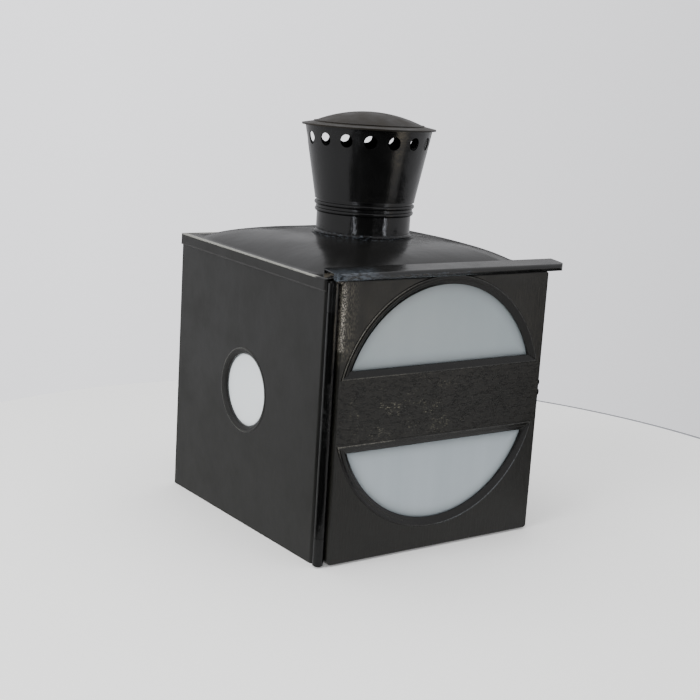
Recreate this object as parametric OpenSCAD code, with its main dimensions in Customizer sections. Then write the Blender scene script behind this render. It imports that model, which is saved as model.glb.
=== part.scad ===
// Square railway signal lantern of folded and soldered sheet, with a vented chimney,
// a hinged front door with two half-moon lights, and an oil lamp inside.
// X runs to the right of the front, Y to the back, Z up; the origin is the middle of the base.

/* [Case] */
// Width of the case over its eaves
case_w = 266; // [236:1:300]
// Depth of the case over its eaves
case_d = 266; // [240:1:320]
// Height of the front edge of the roof above the base
case_h = 270; // [250:1:310]
// Drop of the side eaves at the back
drop_back = 1; // [0:0.5:6]
// Drop of the side eaves at the front corners
drop_front = 6.5; // [0:0.5:8]
// Thickness of the case sheet
sheet = 1.5; // [1:0.1:1.8]
// Thickness of the roof, eaves band and chimney sheet
roof_sheet = 1.2; // [0.8:0.1:1.6]
// Outer radius of the front bend of each side wall
bend_r = 4; // [3:0.5:5]
// Width of the front flange of each side wall, over its bend
flange_w = 18; // [17:0.5:20]
// Width of the soldered seams inside the case
seam_w = 12; // [8:1:16]
// Width of the front frame beyond each side of its opening
frame_w = 17.6; // [17:0.2:22]
// Height of the front frame below and above its opening
frame_h = 14; // [12:1:18]
// Height of the eaves band
band_h = 9.5; // [6:0.5:12]
// Radius of the air holes in the floor
air_r = 5; // [3:0.5:7]
// Number of air holes in each row
air_count = 6; // [3:1:7]
// Distance from hole to hole in a row
air_pitch = 30; // [20:1:34]

/* [Roof and chimney] */
// Rise of the roof from its front edge to its flat crown
roof_rise = 13; // [8:0.5:20]
// Width of the flat margin round the raised pan of the roof
roof_margin = 7; // [5:0.5:14]
// Squareness of the pan: 2 is round, more is squarer
pan_power = 8; // [4:0.5:10]
// Fullness of the pan: 1 is a straight slope, more rises sooner
pan_swell = 2.6; // [1.2:0.1:3]
// Radius of the flat crown
crown_r = 52; // [51:0.5:60]
// Outer radius of the chimney neck
neck_r = 47.2; // [40:0.2:48]
// Height of the chimney neck
neck_h = 33; // [28:1:45]
// Radius of the rings of the chimney
ring_r = 2.2; // [1.6:0.1:3]
// Height of the stop ring above the foot of the neck
stop_z = 24; // [18:0.5:25]
// Outer radius of the cowl at its foot
cowl_low_r = 50; // [49.6:0.1:52]
// Outer radius of the cowl at its top
cowl_top_r = 63; // [58:0.5:70]
// Height of the groove between the cowl and the ring at its foot
cowl_groove = 3.2; // [1.4:0.2:5]
// Height of the flared part of the cowl
cowl_h = 70; // [60:1:85]
// Number of vent holes in the cowl
vent_count = 16; // [8:1:20]
// Radius of the vent holes
vent_r = 6.2; // [4:0.1:7]
// Depth of the vent holes below the top of the cowl
vent_drop = 12; // [12:0.5:18]
// Width of the cap's brim beyond the cowl
brim_w = 3.6; // [2:0.2:6]
// Radius of the cap's dome
dome_r = 53; // [46:0.5:54]
// Height of the cap's dome
dome_h = 11; // [9:0.5:18]

/* [Door] */
// Distance from the left of the case to the door
door_left = 8.6; // [8.4:0.1:10]
// Distance from the door to the right of the case
door_right = 12.4; // [11.4:0.1:14]
// Distance from the base to the door
door_low = 1.2; // [1:0.1:2]
// Distance from the door to the front edge of the roof
door_high = 5.5; // [5.4:0.1:8]
// Depth of the door tray
door_d = 12.5; // [12:0.1:14]
// Distance from the case to the back of the door
door_gap = 2; // [1.8:0.1:2.6]
// Outer radius of the door's folded edges
fold_r = 1.75; // [1.75:0.25:3]
// Radius of the door's corners
corner_r = 6; // [2:0.25:7]
// Distance from the round light to each side of the door
light_side = 9.6; // [9:0.1:20]
// Distance from the round light to the top of the door
light_high = 8.2; // [7.5:0.1:12]
// Least distance from the round light to the foot of the door
light_low = 16; // [12:0.5:28]
// Height of the flat of the bar across the light
bar_h = 60.9; // [40:0.1:90]
// Radius of the rolled lips of the door
door_lip_r = 8; // [6:0.25:9]
// Depth of the rolled lips of the door
door_lip_d = 4.8; // [4:0.1:5]
// Distance that the panes reach past the lights
pane_lap = 3.7; // [2.5:0.1:4]
// Thickness of the panes
pane_t = 3; // [2:0.2:4]
// Thickness of the clips behind the panes
clip_t = 1; // [0.6:0.1:1.2]
// Width of the clips
clip_w = 14; // [8:1:20]

/* [Side lights] */
// Height of the side lights
side_z = 133; // [120:1:150]
// Radius of the side lights
side_r = 35.5; // [28:0.5:40]
// Radius of the rolled lips of the side lights
lip_r = 5; // [3:0.25:5.5]

/* [Hinge and catch] */
// Outer radius of the hinge knuckles
knuckle_r = 5; // [4:0.1:5.2]
// Radius of the hinge pin
pin_r = 2; // [1.5:0.1:2.4]
// Depth of the hinge pin behind the face of the door
pin_depth = 6.8; // [6.6:0.1:7.4]
// Length of the two knuckles on the case
leaf_h = 26; // [20:1:40]
// Radius of the rivets
rivet_r = 1.5; // [1.2:0.1:1.8]
// Height of the catch
catch_z = 150; // [130:1:170]
// Length of the catch's tongue
tongue_l = 10.3; // [9.5:0.1:11]
// Width of the catch's tongue
tongue_w = 5; // [4:0.2:5]

/* [Rain ledge] */
// Reach of the rain ledge in front of the case
ledge_d = 22.4; // [18:0.2:28]
// Distance that the rain ledge reaches past the left of the case
ledge_left = 3.5; // [-4:0.5:5]
// Distance that the rain ledge reaches past the right of the case
ledge_right = 2; // [-12:0.5:5]
// Radius of the two front corners of the rain ledge, seen from above
ledge_corner_r = 9; // [3:0.5:14]
// Rise of the rain ledge from its nose to its back
ledge_rise = 2; // [0:0.5:4]
// Radius of the nose, which is rolled round a wire
nose_r = 3.6; // [2.6:0.1:3.8]

/* [Lamp] */
// Width of the lamp's sliding base
base_w = 120; // [116:1:140]
// Length of the lamp's sliding base
base_l = 120; // [100:1:150]
// Radius of the oil font
font_r = 48; // [44:0.5:50]
// Height of the oil font's side
font_h = 84; // [70:1:90]
// Thickness of the lamp's sheet
lamp_sheet = 1; // [0.7:0.1:1.3]
// Radius of the font's burner neck
mouth_r = 16; // [15.5:0.1:17]
// Distance of the filler from the burner
filler_x = 38; // [37:0.5:39]
// Radius of the filler neck
filler_r = 7.5; // [6:0.1:8]
// Height of the burner basket
basket_h = 16; // [15:0.5:20]
// Radius of the burner basket at its top
basket_r = 23; // [22:0.5:25]
// Width of the wick
wick_w = 22; // [16:0.5:23]
// Thickness of the wick
wick_t = 2.8; // [2:0.1:3.2]
// Length of the wick at rest
wick_l = 116; // [100:1:118]
// Radius of the wick wheels over their teeth
wheel_r = 3.4; // [3:0.1:3.8]
// Radius of the wick spindle
spindle_r = 1.5; // [1.2:0.1:1.7]
// Radius of the wick knob
knob_r = 9; // [6:0.5:11]
// Radius of the lamp glass at its foot
glass_r = 25; // [24:0.5:26]
// Radius of the lamp glass at its bulge
bulge_r = 30; // [28:0.5:34]
// Radius of the lamp glass at its top
glass_top_r = 20; // [16:0.5:23]
// Height of the lamp glass
glass_h = 134; // [120:1:140]
// Wall of the lamp glass
glass_t = 1.6; // [1.2:0.1:2]

/* [Hidden] */
$fn = 96;
run_gap = 0.05;
turn_gap = 0.08;
seat_gap = 0.1;
loose_gap = 0.4;
cut = 1;

// Case planes
half_w = case_w / 2;
half_d = case_d / 2;
front_y = -half_d;
wall_x = half_w - roof_sheet;
in_x = wall_x - sheet;
wall_y = half_d - roof_sheet;
in_y = wall_y - sheet;
eaves_back = case_h - drop_back;
eaves_front = case_h - drop_front;
wall_top = case_h - roof_sheet;
back_top = eaves_back - roof_sheet - seat_gap;
front_top = eaves_front - roof_sheet - seat_gap;
bend_y = front_y + bend_r;
frame_front = front_y + sheet;
flange_end = wall_x - flange_w;
frame_x = wall_x - bend_r - seat_gap;
upstand_h = 10;
floor_air_x = 95;

// Rolled lips start just above the plate, so that they meet it at an angle
lip_relief = 0.2;
lip_depth = lip_r - lip_relief;
side_out = side_r + lip_r;
side_pane_r = side_r + pane_lap;
door_lip_w = sqrt(pow(door_lip_r, 2) - pow(door_lip_r - lip_relief - door_lip_d, 2));

// Roof and chimney heights
crown_z = case_h + roof_rise;
flue_r = neck_r - roof_sheet;
roof_lap = 2;
roof_hole_r = flue_r - roof_lap;
neck_top = crown_z + neck_h;
stop_ring_z = crown_z + stop_z;
cowl_foot = stop_ring_z + ring_r + seat_gap;
cowl_z = neck_top + seat_gap + cowl_groove;
cowl_top = cowl_z + cowl_h;
cap_r = cowl_top_r + brim_w;
brim_edge = 1.5;
brim_rise = 3;
step_w = 2;
step_h = 2;
collar_h = 5;

// Door planes
door_l = -half_w + door_left;
door_r = half_w - door_right;
door_x = (door_l + door_r) / 2;
door_w = door_r - door_l;
door_top = case_h - door_high;
door_h = door_top - door_low;
door_z = (door_top + door_low) / 2;
door_back = front_y - door_gap;
door_face = door_back - door_d;
light_r = min(door_w / 2 - light_side, (door_h - light_high - light_low) / 2);
light_z = door_top - light_high - light_r;
light_out = light_r + door_lip_w;
pane_w = 2 * (light_r + pane_lap);
pane_front = door_face + door_lip_d;
pane_back = pane_front + pane_t;

// Hinge line
leaf_in = 0.5;
pin_x = door_l - knuckle_r - loose_gap;
pin_y = door_face + pin_depth;
leaf_low = door_low + leaf_in;
leaf_top = front_top - leaf_in;
knuckle_low = leaf_low + leaf_h + loose_gap;
knuckle_top = leaf_top - leaf_h - loose_gap;
pin_head_w = 1.2;
pin_head_r = pin_r + pin_head_w;
pin_head_h = 1.2;
strip_inset = 0.25;
strip_y = pin_y + knuckle_r - sheet - strip_inset;
leaf_y = front_y - sheet;
leaf_back_off = 0.7;
leaf_end = -flange_end - leaf_back_off;
leaf_rivet_in = 4.4;
leaf_rivet_x = door_l + sheet + leaf_rivet_in;
head_w = 1.1;
head_r = rivet_r + head_w;
head_h = 1.2;

// Catch
catch_off = 5.2;
catch_x = door_r + catch_off;
catch_t = 1.5;
catch_stand = 1.8;
catch_back = door_back - catch_stand;
catch_front = catch_back - catch_t;
catch_hub_r = 4;
catch_boss_r = 3.5;
tab_r = 4.4;
tab_drop = 10;
tongue_corner = sqrt(pow(tongue_l, 2) + pow(tongue_w / 2, 2));
slot_over = 1.5;
slot_under = 0.6;
slot_front = 0.7;
slot_back = 0.3;
slot_top = catch_z + sqrt(pow(tongue_corner, 2) - pow(catch_off, 2)) + slot_over;
slot_low = catch_z - tongue_w / 2 - slot_under;

// Ledge
ledge_leg_gap = 1.2;
ledge_lift = 2;
ledge_l = -half_w - ledge_left;
ledge_w = case_w + ledge_left + ledge_right;
ledge_leg_low = door_top + ledge_leg_gap;
ledge_top = case_h + ledge_lift;
ledge_back = ledge_top + ledge_rise;
ledge_front = front_y - ledge_d;
nose_y = ledge_front + nose_r;
nose_z = ledge_top - nose_r;

// Lamp heights, from the floor up
rail_t = 1.2;
rail_h = 5.5;
rail_lip = 6;
base_t = 1.5;
base_z = sheet + rail_t;
font_z = base_z + base_t;
shoulder_z = font_z + font_h;
shoulder_h = 5;
mouth_h = 4;
mouth_z = shoulder_z + shoulder_h + mouth_h;
collar_t = 1.2;
basket_z = mouth_z + collar_t;
basket_in = 2;
basket_low_r = mouth_r - basket_in;
gallery_z = basket_z + basket_h;
gallery_t = 1.2;
glass_z = gallery_z + gallery_t;
gallery_w = 4;
gallery_hole_r = basket_r - gallery_w;
prong_gap = 0.2;
prong_t = 1;
prong_h = 14;
burner_lap = 1.5;
burner_r = gallery_hole_r + burner_lap;
burner_h = 16;
wick_play_x = 0.3;
wick_play_y = 0.2;
tube_in_x = wick_t / 2 + wick_play_x;
tube_in_y = wick_w / 2 + wick_play_y;
tube_t = 0.6;
tube_out_x = tube_in_x + tube_t;
tube_out_y = tube_in_y + tube_t;
tube_drop = 25;
tube_short = 6;
wick_show = 2;
tube_low = mouth_z - tube_drop;
tube_top = glass_z + burner_h - tube_short;
wick_top = tube_top + wick_show;
spindle_x = tube_in_x + wheel_r;
spindle_z = basket_z + basket_h / 2;
wheel_y = 5;
wheel_w = 3;
teeth = 10;
ear_t = 1.2;
ear_in = 2.8;
ear_y = tube_out_y - ear_in;
knob_off = 3;
knob_y = -font_r - knob_off;
knob_w = 5;
filler_rise = 2;
filler_top = mouth_z + filler_rise;

// Shared shapes
module block(low, high) {
    translate(low) cube(high - low);
}

// Quarter of a ring in the first quadrant
module quarter(r_out, r_in) {
    intersection() {
        difference() {
            circle(r_out);
            if (r_in > 0) circle(r_in);
        }
        square(r_out + cut);
    }
}

// Profile of the empty inside of a rolled lip: x runs out from the middle, y runs inward
module lip_void(reach, r, depth) {
    difference() {
        translate([0, -cut]) square([reach, depth + 2 * cut]);
        translate([reach, r - lip_relief]) circle(r);
    }
}

// Profile of the same lip filled to its back edge
module lip_fill(reach, r, depth) {
    difference() {
        square([reach, depth]);
        translate([reach, r - lip_relief]) circle(r - sheet);
    }
}

// Case
module wall_plan() {
    translate([-wall_x, bend_y]) square([sheet, wall_y - bend_y]);
    translate([-wall_x + bend_r, bend_y]) rotate(180) quarter(bend_r, bend_r - sheet);
    translate([-wall_x + bend_r, front_y]) square([flange_w - bend_r, sheet]);
}

// Everything over the sloping underside of the side eaves, up to a height
module above_eaves(high) {
    translate([-case_w, 0, 0]) rotate([90, 0, 90]) linear_extrude(2 * case_w)
        polygon([[front_y, front_top], [half_d, back_top], [half_d, high], [front_y, high]]);
}

module on_side_light() {
    translate([-wall_x, 0, side_z]) rotate([0, 90, 0]) children();
}

module side_wall() {
    difference() {
        union() {
            linear_extrude(wall_top) wall_plan();
            on_side_light() rotate_extrude() lip_fill(side_out, lip_r, lip_depth);
        }
        on_side_light() rotate_extrude() lip_void(side_out, lip_r, lip_depth);
        above_eaves(wall_top + cut);
    }
}

module left_wall() {
    color("dimgray") difference() {
        side_wall();
        leaf_rivet_holes();
    }
}

module right_wall() {
    color("dimgray") difference() {
        mirror([1, 0, 0]) side_wall();
        translate([catch_x, front_y - cut, catch_z]) rotate([-90, 0, 0])
            cylinder(r = rivet_r + seat_gap, h = sheet + 2 * cut);
    }
}

module back_wall() {
    color("dimgray") {
        seam_top = back_top - seam_w * (drop_front - drop_back) / case_d;
        block([-in_x, in_y, 0], [in_x, wall_y, seam_top]);
        for (side = [-1, 1])
            translate([side * (in_x - sheet / 2), in_y - seam_w / 2, (seam_top + sheet) / 2])
                cube([sheet, seam_w, seam_top - sheet], center = true);
    }
}

module floor_pan() {
    upstand_gap = 2;
    side_end = in_y - seam_w - upstand_gap;
    back_end = in_x - sheet - upstand_gap;
    color("dimgray") difference() {
        union() {
            block([-in_x, bend_y, 0], [in_x, in_y, sheet]);
            for (side = [-1, 1])
                translate([side * (in_x - sheet / 2), (bend_y + side_end) / 2, upstand_h / 2])
                    cube([sheet, side_end - bend_y, upstand_h], center = true);
            block([-back_end, in_y - sheet, 0], [back_end, in_y, upstand_h]);
        }
        for (side = [-1, 1], i = [0 : air_count - 1])
            translate([side * floor_air_x, (i - (air_count - 1) / 2) * air_pitch, -cut])
                cylinder(r = air_r, h = sheet + 2 * cut);
    }
}

module front_frame() {
    opening_x = frame_x - frame_w;
    top = wall_top - seat_gap;
    lag = 2 * sheet;
    corner_top = top - drop_front * (1 - (half_w - frame_x - lag) / front_rise_w);
    shoulder_x = half_w - front_rise_w - lag;
    color("black") difference() {
        translate([0, frame_front + sheet, 0]) rotate([90, 0, 0]) linear_extrude(sheet)
            polygon([[-frame_x, 0], [frame_x, 0], [frame_x, corner_top], [shoulder_x, top],
                [-shoulder_x, top], [-frame_x, corner_top]]);
        block([-opening_x, frame_front - cut, frame_h],
            [opening_x, frame_front + sheet + cut, wall_top - frame_h]);
        leaf_rivet_holes();
        translate([catch_x, frame_front - cut, catch_z]) rotate([-90, 0, 0])
            cylinder(r = rivet_r + seat_gap, h = sheet + 2 * cut);
    }
}

// Plan of the left half of the eaves band, which goes half round the front bend of the wall
module band_plan() {
    out_r = bend_r + roof_sheet;
    translate([-half_w, bend_y]) square([roof_sheet, half_d - bend_y]);
    translate([-half_w, wall_y]) square([half_w + cut, roof_sheet]);
    translate([-wall_x + bend_r, bend_y]) intersection() {
        rotate(180) quarter(out_r, bend_r);
        polygon([[0, 0], [-2 * out_r, 0], [-2 * out_r, -2 * out_r]]);
    }
}

module eaves_band() {
    color("dimgray") difference() {
        intersection() {
            linear_extrude(wall_top) {
                band_plan();
                mirror([1, 0]) band_plan();
            }
            translate([0, 0, -band_h]) above_eaves(wall_top + band_h);
        }
        above_eaves(wall_top + cut);
    }
}

// Roof: a flat margin runs from the eaves to a raised pan, which swells up to the round crown
roof_rings = 9;
side_steps = 12;
rise_steps = 2;
front_rise_w = case_w * rise_steps / side_steps;
around = 4 * side_steps;
eaves_corners = [[-half_w, -half_d], [half_w, -half_d], [half_w, half_d], [-half_w, half_d]];
function eaves_plan(j) =
    let (k = floor(j / side_steps), f = (j % side_steps) / side_steps)
    (1 - f) * eaves_corners[k] + f * eaves_corners[(k + 1) % 4];
// The sides fall from the back to the front corners, and the front rises from its corners to its middle
function eaves_z(p) =
    let (side = eaves_front + (eaves_back - eaves_front) * (p[1] + half_d) / case_d)
    p[1] > front_y ? side : case_h - drop_front * max(0, 1 - (half_w - abs(p[0])) / front_rise_w);
function toward(p, r) = p * r / norm(p);
function pan_edge(p) =
    let (x = abs(p[0]) / (half_w - roof_margin), y = abs(p[1]) / (half_d - roof_margin))
    p / pow(pow(x, pan_power) + pow(y, pan_power), 1 / pan_power);
function swell(t) = 1 - pow(1 - t, pan_swell);
function roof_point(p, i) =
    let (z = eaves_z(p), t = max(0, (i - 1) / (roof_rings - 1)))
    i == 0 ? concat(p, z)
    : i > roof_rings ? concat(toward(p, roof_hole_r), crown_z)
    : concat((1 - t) * pan_edge(p) + t * toward(p, crown_r), z + (crown_z - z) * swell(t));
function roof_ring(i) = [for (j = [0 : around - 1]) roof_point(eaves_plan(j), i)];
function lowered(ring) = [for (p = ring) p - [0, 0, roof_sheet]];

module roof() {
    top = [for (i = [0 : roof_rings + 1]) roof_ring(i)];
    under = [for (i = [roof_rings + 1 : -1 : 0]) lowered(roof_ring(i))];
    rings = concat(top, under);
    count = len(rings);
    faces = [for (m = [0 : count - 1], j = [0 : around - 1])
        let (n = (m + 1) % count, k = (j + 1) % around)
        let (a = m * around + j, b = m * around + k, c = n * around + k, d = n * around + j)
        each [[a, d, c], [a, c, b]]];
    color("black") polyhedron(points = [for (ring = rings, p = ring) p], faces = faces);
}

module rain_ledge() {
    color("black") intersection() {
        translate([ledge_l, 0, 0]) rotate([90, 0, 90]) linear_extrude(ledge_w) {
            translate([nose_y, nose_z]) circle(nose_r);
            polygon([[nose_y, ledge_top - roof_sheet], [front_y, ledge_back - roof_sheet],
                [front_y, ledge_back], [nose_y, ledge_top]]);
            translate([front_y - roof_sheet, ledge_leg_low])
                square([roof_sheet, ledge_back - roof_sheet - ledge_leg_low]);
        }
        translate([0, 0, ledge_leg_low - cut]) linear_extrude(ledge_back - ledge_leg_low + 2 * cut) {
            translate([ledge_l, ledge_front + ledge_corner_r])
                square([ledge_w, ledge_d - ledge_corner_r]);
            translate([ledge_l + ledge_corner_r, ledge_front])
                square([ledge_w - 2 * ledge_corner_r, ledge_corner_r]);
            for (side = [-1, 1])
                translate([ledge_l + ledge_w / 2 + side * (ledge_w / 2 - ledge_corner_r),
                    ledge_front + ledge_corner_r])
                    rotate(side < 0 ? 180 : 270) quarter(ledge_corner_r, 0);
        }
    }
}

// Chimney
module chimney_neck() {
    foot_w = 3.8;
    color("black") rotate_extrude() difference() {
        union() {
            translate([flue_r, crown_z]) square([roof_sheet, neck_h]);
            translate([flue_r, crown_z]) square([roof_sheet + foot_w, roof_sheet]);
            translate([neck_r, crown_z + ring_r]) circle(ring_r);
            translate([neck_r, stop_ring_z]) circle(ring_r);
        }
        translate([flue_r - 2 * ring_r, crown_z - cut]) square([2 * ring_r, neck_h + 2 * cut]);
        translate([0, crown_z - 2 * cut]) square([neck_r + foot_w + cut, 2 * cut]);
    }
}

// Outer radius of the cowl at a height
function cowl_r(z) = cowl_low_r + (cowl_top_r - cowl_low_r) * (z - cowl_z) / cowl_h;

module chimney_cowl() {
    socket_r = neck_r + seat_gap;
    vent_z = cowl_top - vent_drop;
    ring_z = neck_top - ring_r;
    color("black") difference() {
        rotate_extrude() difference() {
            union() {
                translate([socket_r, cowl_foot]) square([roof_sheet, cowl_z - cowl_foot]);
                translate([socket_r, cowl_z - roof_sheet])
                    square([cowl_low_r - socket_r, roof_sheet]);
                translate([socket_r + roof_sheet / 2, ring_z]) circle(ring_r);
                polygon([[cowl_low_r - roof_sheet, cowl_z - roof_sheet],
                    [cowl_low_r, cowl_z - roof_sheet],
                    [cowl_low_r, cowl_z], [cowl_top_r, cowl_top],
                    [cowl_top_r - roof_sheet, cowl_top], [cowl_low_r - roof_sheet, cowl_z]]);
            }
            translate([socket_r - 2 * ring_r, cowl_foot - cut])
                square([2 * ring_r, cowl_z - cowl_foot + cut]);
        }
        for (i = [0 : vent_count - 1])
            rotate(360 * (i + 0.5) / vent_count)
                translate([cowl_low_r - cut, 0, vent_z]) rotate([0, 90, 0])
                cylinder(r = vent_r, h = cap_r - cowl_low_r + cut);
    }
}

module chimney_cap() {
    brim_top = cowl_top + brim_edge;
    dome_z = brim_top + brim_rise;
    sphere_r = (pow(dome_r, 2) + pow(dome_h, 2)) / (2 * dome_h);
    collar_r = cowl_r(cowl_top - collar_h) - roof_sheet - seat_gap;
    color("black") rotate_extrude() {
        polygon([[cap_r, cowl_top], [cap_r, brim_top], [dome_r + step_w, dome_z - step_h + roof_sheet],
            [dome_r + step_w, dome_z], [dome_r, dome_z], [dome_r - roof_sheet, dome_z],
            [dome_r - roof_sheet, dome_z - roof_sheet], [dome_r + step_w - roof_sheet, dome_z - roof_sheet],
            [dome_r + step_w - roof_sheet, dome_z - step_h], [collar_r - roof_sheet, cowl_top]]);
        translate([collar_r - roof_sheet, cowl_top - collar_h]) square([roof_sheet, collar_h]);
        translate([0, dome_z + dome_h - sphere_r]) intersection() {
            difference() {
                circle(sphere_r);
                circle(sphere_r - roof_sheet);
            }
            translate([0, sphere_r - dome_h - roof_sheet]) square([dome_r, dome_h + 2 * roof_sheet]);
        }
    }
}

// Side lights
module side_pane() {
    on_side_light() translate([0, 0, lip_depth]) cylinder(r = side_pane_r, h = pane_t);
}

module left_pane() {
    color("aliceblue") side_pane();
}

module right_pane() {
    color("aliceblue") mirror([1, 0, 0]) side_pane();
}

// Four bent clips soldered round the back of one side light
module side_clips() {
    pane_gap = 1;
    riser_r = side_pane_r + pane_gap;
    foot_l = 7;
    grip_l = 5;
    tab_z = lip_depth + pane_t;
    on_side_light() for (a = [45 : 90 : 315]) rotate(a) {
        translate([riser_r, -clip_w / 2, sheet]) cube([foot_l, clip_w, clip_t]);
        translate([riser_r, -clip_w / 2, sheet]) cube([clip_t, clip_w, tab_z + clip_t - sheet]);
        translate([riser_r - grip_l, -clip_w / 2, tab_z]) cube([grip_l, clip_w, clip_t]);
    }
}

module side_pane_clips() {
    color("silver") {
        side_clips();
        mirror([1, 0, 0]) side_clips();
    }
}

// Door
// Outline of a tray from one side, with its two front edges rounded
module folded(length, depth, r) {
    translate([-length / 2, r]) square([length, depth - r]);
    translate([-length / 2 + r, 0]) square([length - 2 * r, r]);
    for (side = [-1, 1])
        translate([side * (length / 2 - r), r]) rotate(side < 0 ? 180 : 270) quarter(r, 0);
}

module tray(inset, depth) {
    wide = door_w - 2 * inset;
    tall = door_h - 2 * inset;
    translate([door_x, door_face + inset, door_z]) intersection() {
        translate([0, 0, -tall / 2]) linear_extrude(tall) folded(wide, depth, fold_r - inset);
        translate([-wide / 2, 0, 0]) rotate([90, 0, 90]) linear_extrude(wide)
            rotate(-90) mirror([1, 0]) folded(tall, depth, fold_r - inset);
    }
}

// One half-moon of the light, above the bar, at the middle of the round light
module half_moon(filled) {
    chord = bar_h / 2;
    reach = light_out + cut - chord;
    wide = 2 * light_out + 2 * cut;
    intersection() {
        rotate([-90, 0, 0]) rotate_extrude() {
            if (filled) lip_fill(light_out, door_lip_r, door_lip_d);
            else lip_void(light_out, door_lip_r, door_lip_d);
        }
        translate([-wide / 2, 0, chord + reach]) rotate([0, 90, 0]) linear_extrude(wide) {
            if (filled) lip_fill(reach, door_lip_r, door_lip_d);
            else lip_void(reach, door_lip_r, door_lip_d);
        }
    }
}

module half_moons(filled) {
    translate([door_x, door_face, light_z]) {
        half_moon(filled);
        mirror([0, 0, 1]) half_moon(filled);
    }
}

// What rounding takes off one corner of the door, at the origin
module corner_waste() {
    ease = 1.02;
    difference() {
        translate([-cut, -cut]) square(corner_r + cut);
        translate([corner_r, corner_r]) circle(corner_r * ease);
    }
}

module door() {
    color("black") difference() {
        union() {
            difference() {
                tray(0, door_d);
                tray(sheet, door_d);
            }
            half_moons(true);
            block([pin_x, strip_y, knuckle_low], [door_l + sheet, strip_y + sheet, knuckle_top]);
            translate([pin_x, pin_y, knuckle_low]) cylinder(r = knuckle_r, h = knuckle_top - knuckle_low);
        }
        half_moons(false);
        translate([pin_x, pin_y, knuckle_low - cut])
            cylinder(r = pin_r + turn_gap, h = knuckle_top - knuckle_low + 2 * cut);
        block([door_r - sheet - cut, catch_front - slot_front, slot_low],
            [door_r + cut, catch_back + slot_back, slot_top]);
        for (sx = [-1, 1], sz = [-1, 1])
            translate([door_x - sx * door_w / 2, door_back + cut, door_z - sz * door_h / 2])
                rotate([90, 0, 0]) linear_extrude(door_d + 2 * cut)
                    mirror([sx < 0 ? 1 : 0, 0]) mirror([0, sz < 0 ? 1 : 0]) corner_waste();
    }
}

module door_pane() {
    color("aliceblue") translate([door_x, (pane_front + pane_back) / 2, light_z])
        cube([pane_w, pane_t, pane_w], center = true);
}

// Clip on the inside of a door edge: x runs in from the edge, y back from the pane, z across
module edge_clip(gap) {
    grip_l = 6;
    foot_l = 4;
    block([0, -foot_l, -clip_w / 2], [clip_t, clip_t, clip_w / 2]);
    block([0, 0, -clip_w / 2], [gap + grip_l, clip_t, clip_w / 2]);
}

// Bracket under the pane, soldered to the face below the light
module rest_clip() {
    foot_l = 7;
    hook_l = 6;
    low = light_z - pane_w / 2;
    inner = door_face + sheet;
    block([-clip_w / 2, inner, low - clip_t], [clip_w / 2, pane_back + clip_t, low]);
    block([-clip_w / 2, inner, low - foot_l], [clip_w / 2, inner + clip_t, low]);
    block([-clip_w / 2, pane_back, low - clip_t], [clip_w / 2, pane_back + clip_t, low + hook_l]);
}

module door_pane_clips() {
    side_gap = door_w / 2 - sheet - pane_w / 2;
    top_gap = door_top - sheet - light_z - pane_w / 2;
    spread = 65;
    color("silver") {
        for (side = [-1, 1], z = [-spread, spread])
            translate([door_x + side * (door_w / 2 - sheet), pane_back, light_z + z])
                mirror([side > 0 ? 1 : 0, 0, 0]) edge_clip(side_gap);
        for (x = [-spread, spread]) {
            translate([door_x + x, pane_back, door_top - sheet]) rotate([0, 90, 0]) edge_clip(top_gap);
            translate([door_x + x, 0, 0]) rest_clip();
        }
    }
}

// Hinge
leaf_rivet_inset = 6.5;
leaf_rivet_zs = [leaf_low + leaf_rivet_inset, leaf_low + leaf_h - leaf_rivet_inset,
    leaf_top - leaf_h + leaf_rivet_inset, leaf_top - leaf_rivet_inset];

module leaf_rivet_holes() {
    for (z = leaf_rivet_zs)
        translate([leaf_rivet_x, leaf_y - cut, z]) rotate([-90, 0, 0])
            cylinder(r = rivet_r + seat_gap, h = 3 * sheet + 2 * cut);
}

module hinge_leaves() {
    neck_w = 3;
    neck_in = 0.5;
    neck_back = 3;
    color("black") difference() {
        for (z = [leaf_low, leaf_top - leaf_h]) {
            translate([pin_x, pin_y, z]) cylinder(r = knuckle_r, h = leaf_h);
            block([pin_x + neck_in, pin_y + neck_back, z], [pin_x + neck_in + neck_w, front_y, z + leaf_h]);
            block([pin_x + neck_in, leaf_y, z], [leaf_end, front_y, z + leaf_h]);
        }
        translate([pin_x, pin_y, 0]) cylinder(r = pin_r + run_gap, h = case_h);
        leaf_rivet_holes();
    }
}

module hinge_rivets() {
    grip = 3 * sheet;
    color("dimgray") for (z = leaf_rivet_zs)
        translate([leaf_rivet_x, leaf_y, z]) rotate([-90, 0, 0]) {
            cylinder(r = rivet_r, h = grip);
            translate([0, 0, -head_h]) cylinder(r = head_r, h = head_h);
            translate([0, 0, grip]) cylinder(r = head_r, h = head_h);
        }
}

module hinge_pin() {
    color("dimgray") translate([pin_x, pin_y, leaf_low]) {
        cylinder(r = pin_r, h = leaf_top - leaf_low);
        translate([0, 0, -pin_head_h]) cylinder(r = pin_head_r, h = pin_head_h);
        translate([0, 0, leaf_top - leaf_low]) cylinder(r = pin_head_r, h = pin_head_h);
    }
}

// Catch
module turn_catch() {
    color("black") translate([catch_x, catch_back, catch_z]) rotate([90, 0, 0]) linear_extrude(catch_t)
        difference() {
            union() {
                circle(catch_hub_r);
                translate([-tongue_w / 2, 0]) square([tongue_w, tongue_l]);
                translate([-tongue_w / 2, -tab_drop]) square([tongue_w, tab_drop]);
                translate([0, -tab_drop]) circle(tab_r);
            }
            circle(rivet_r + turn_gap);
        }
}

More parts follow.
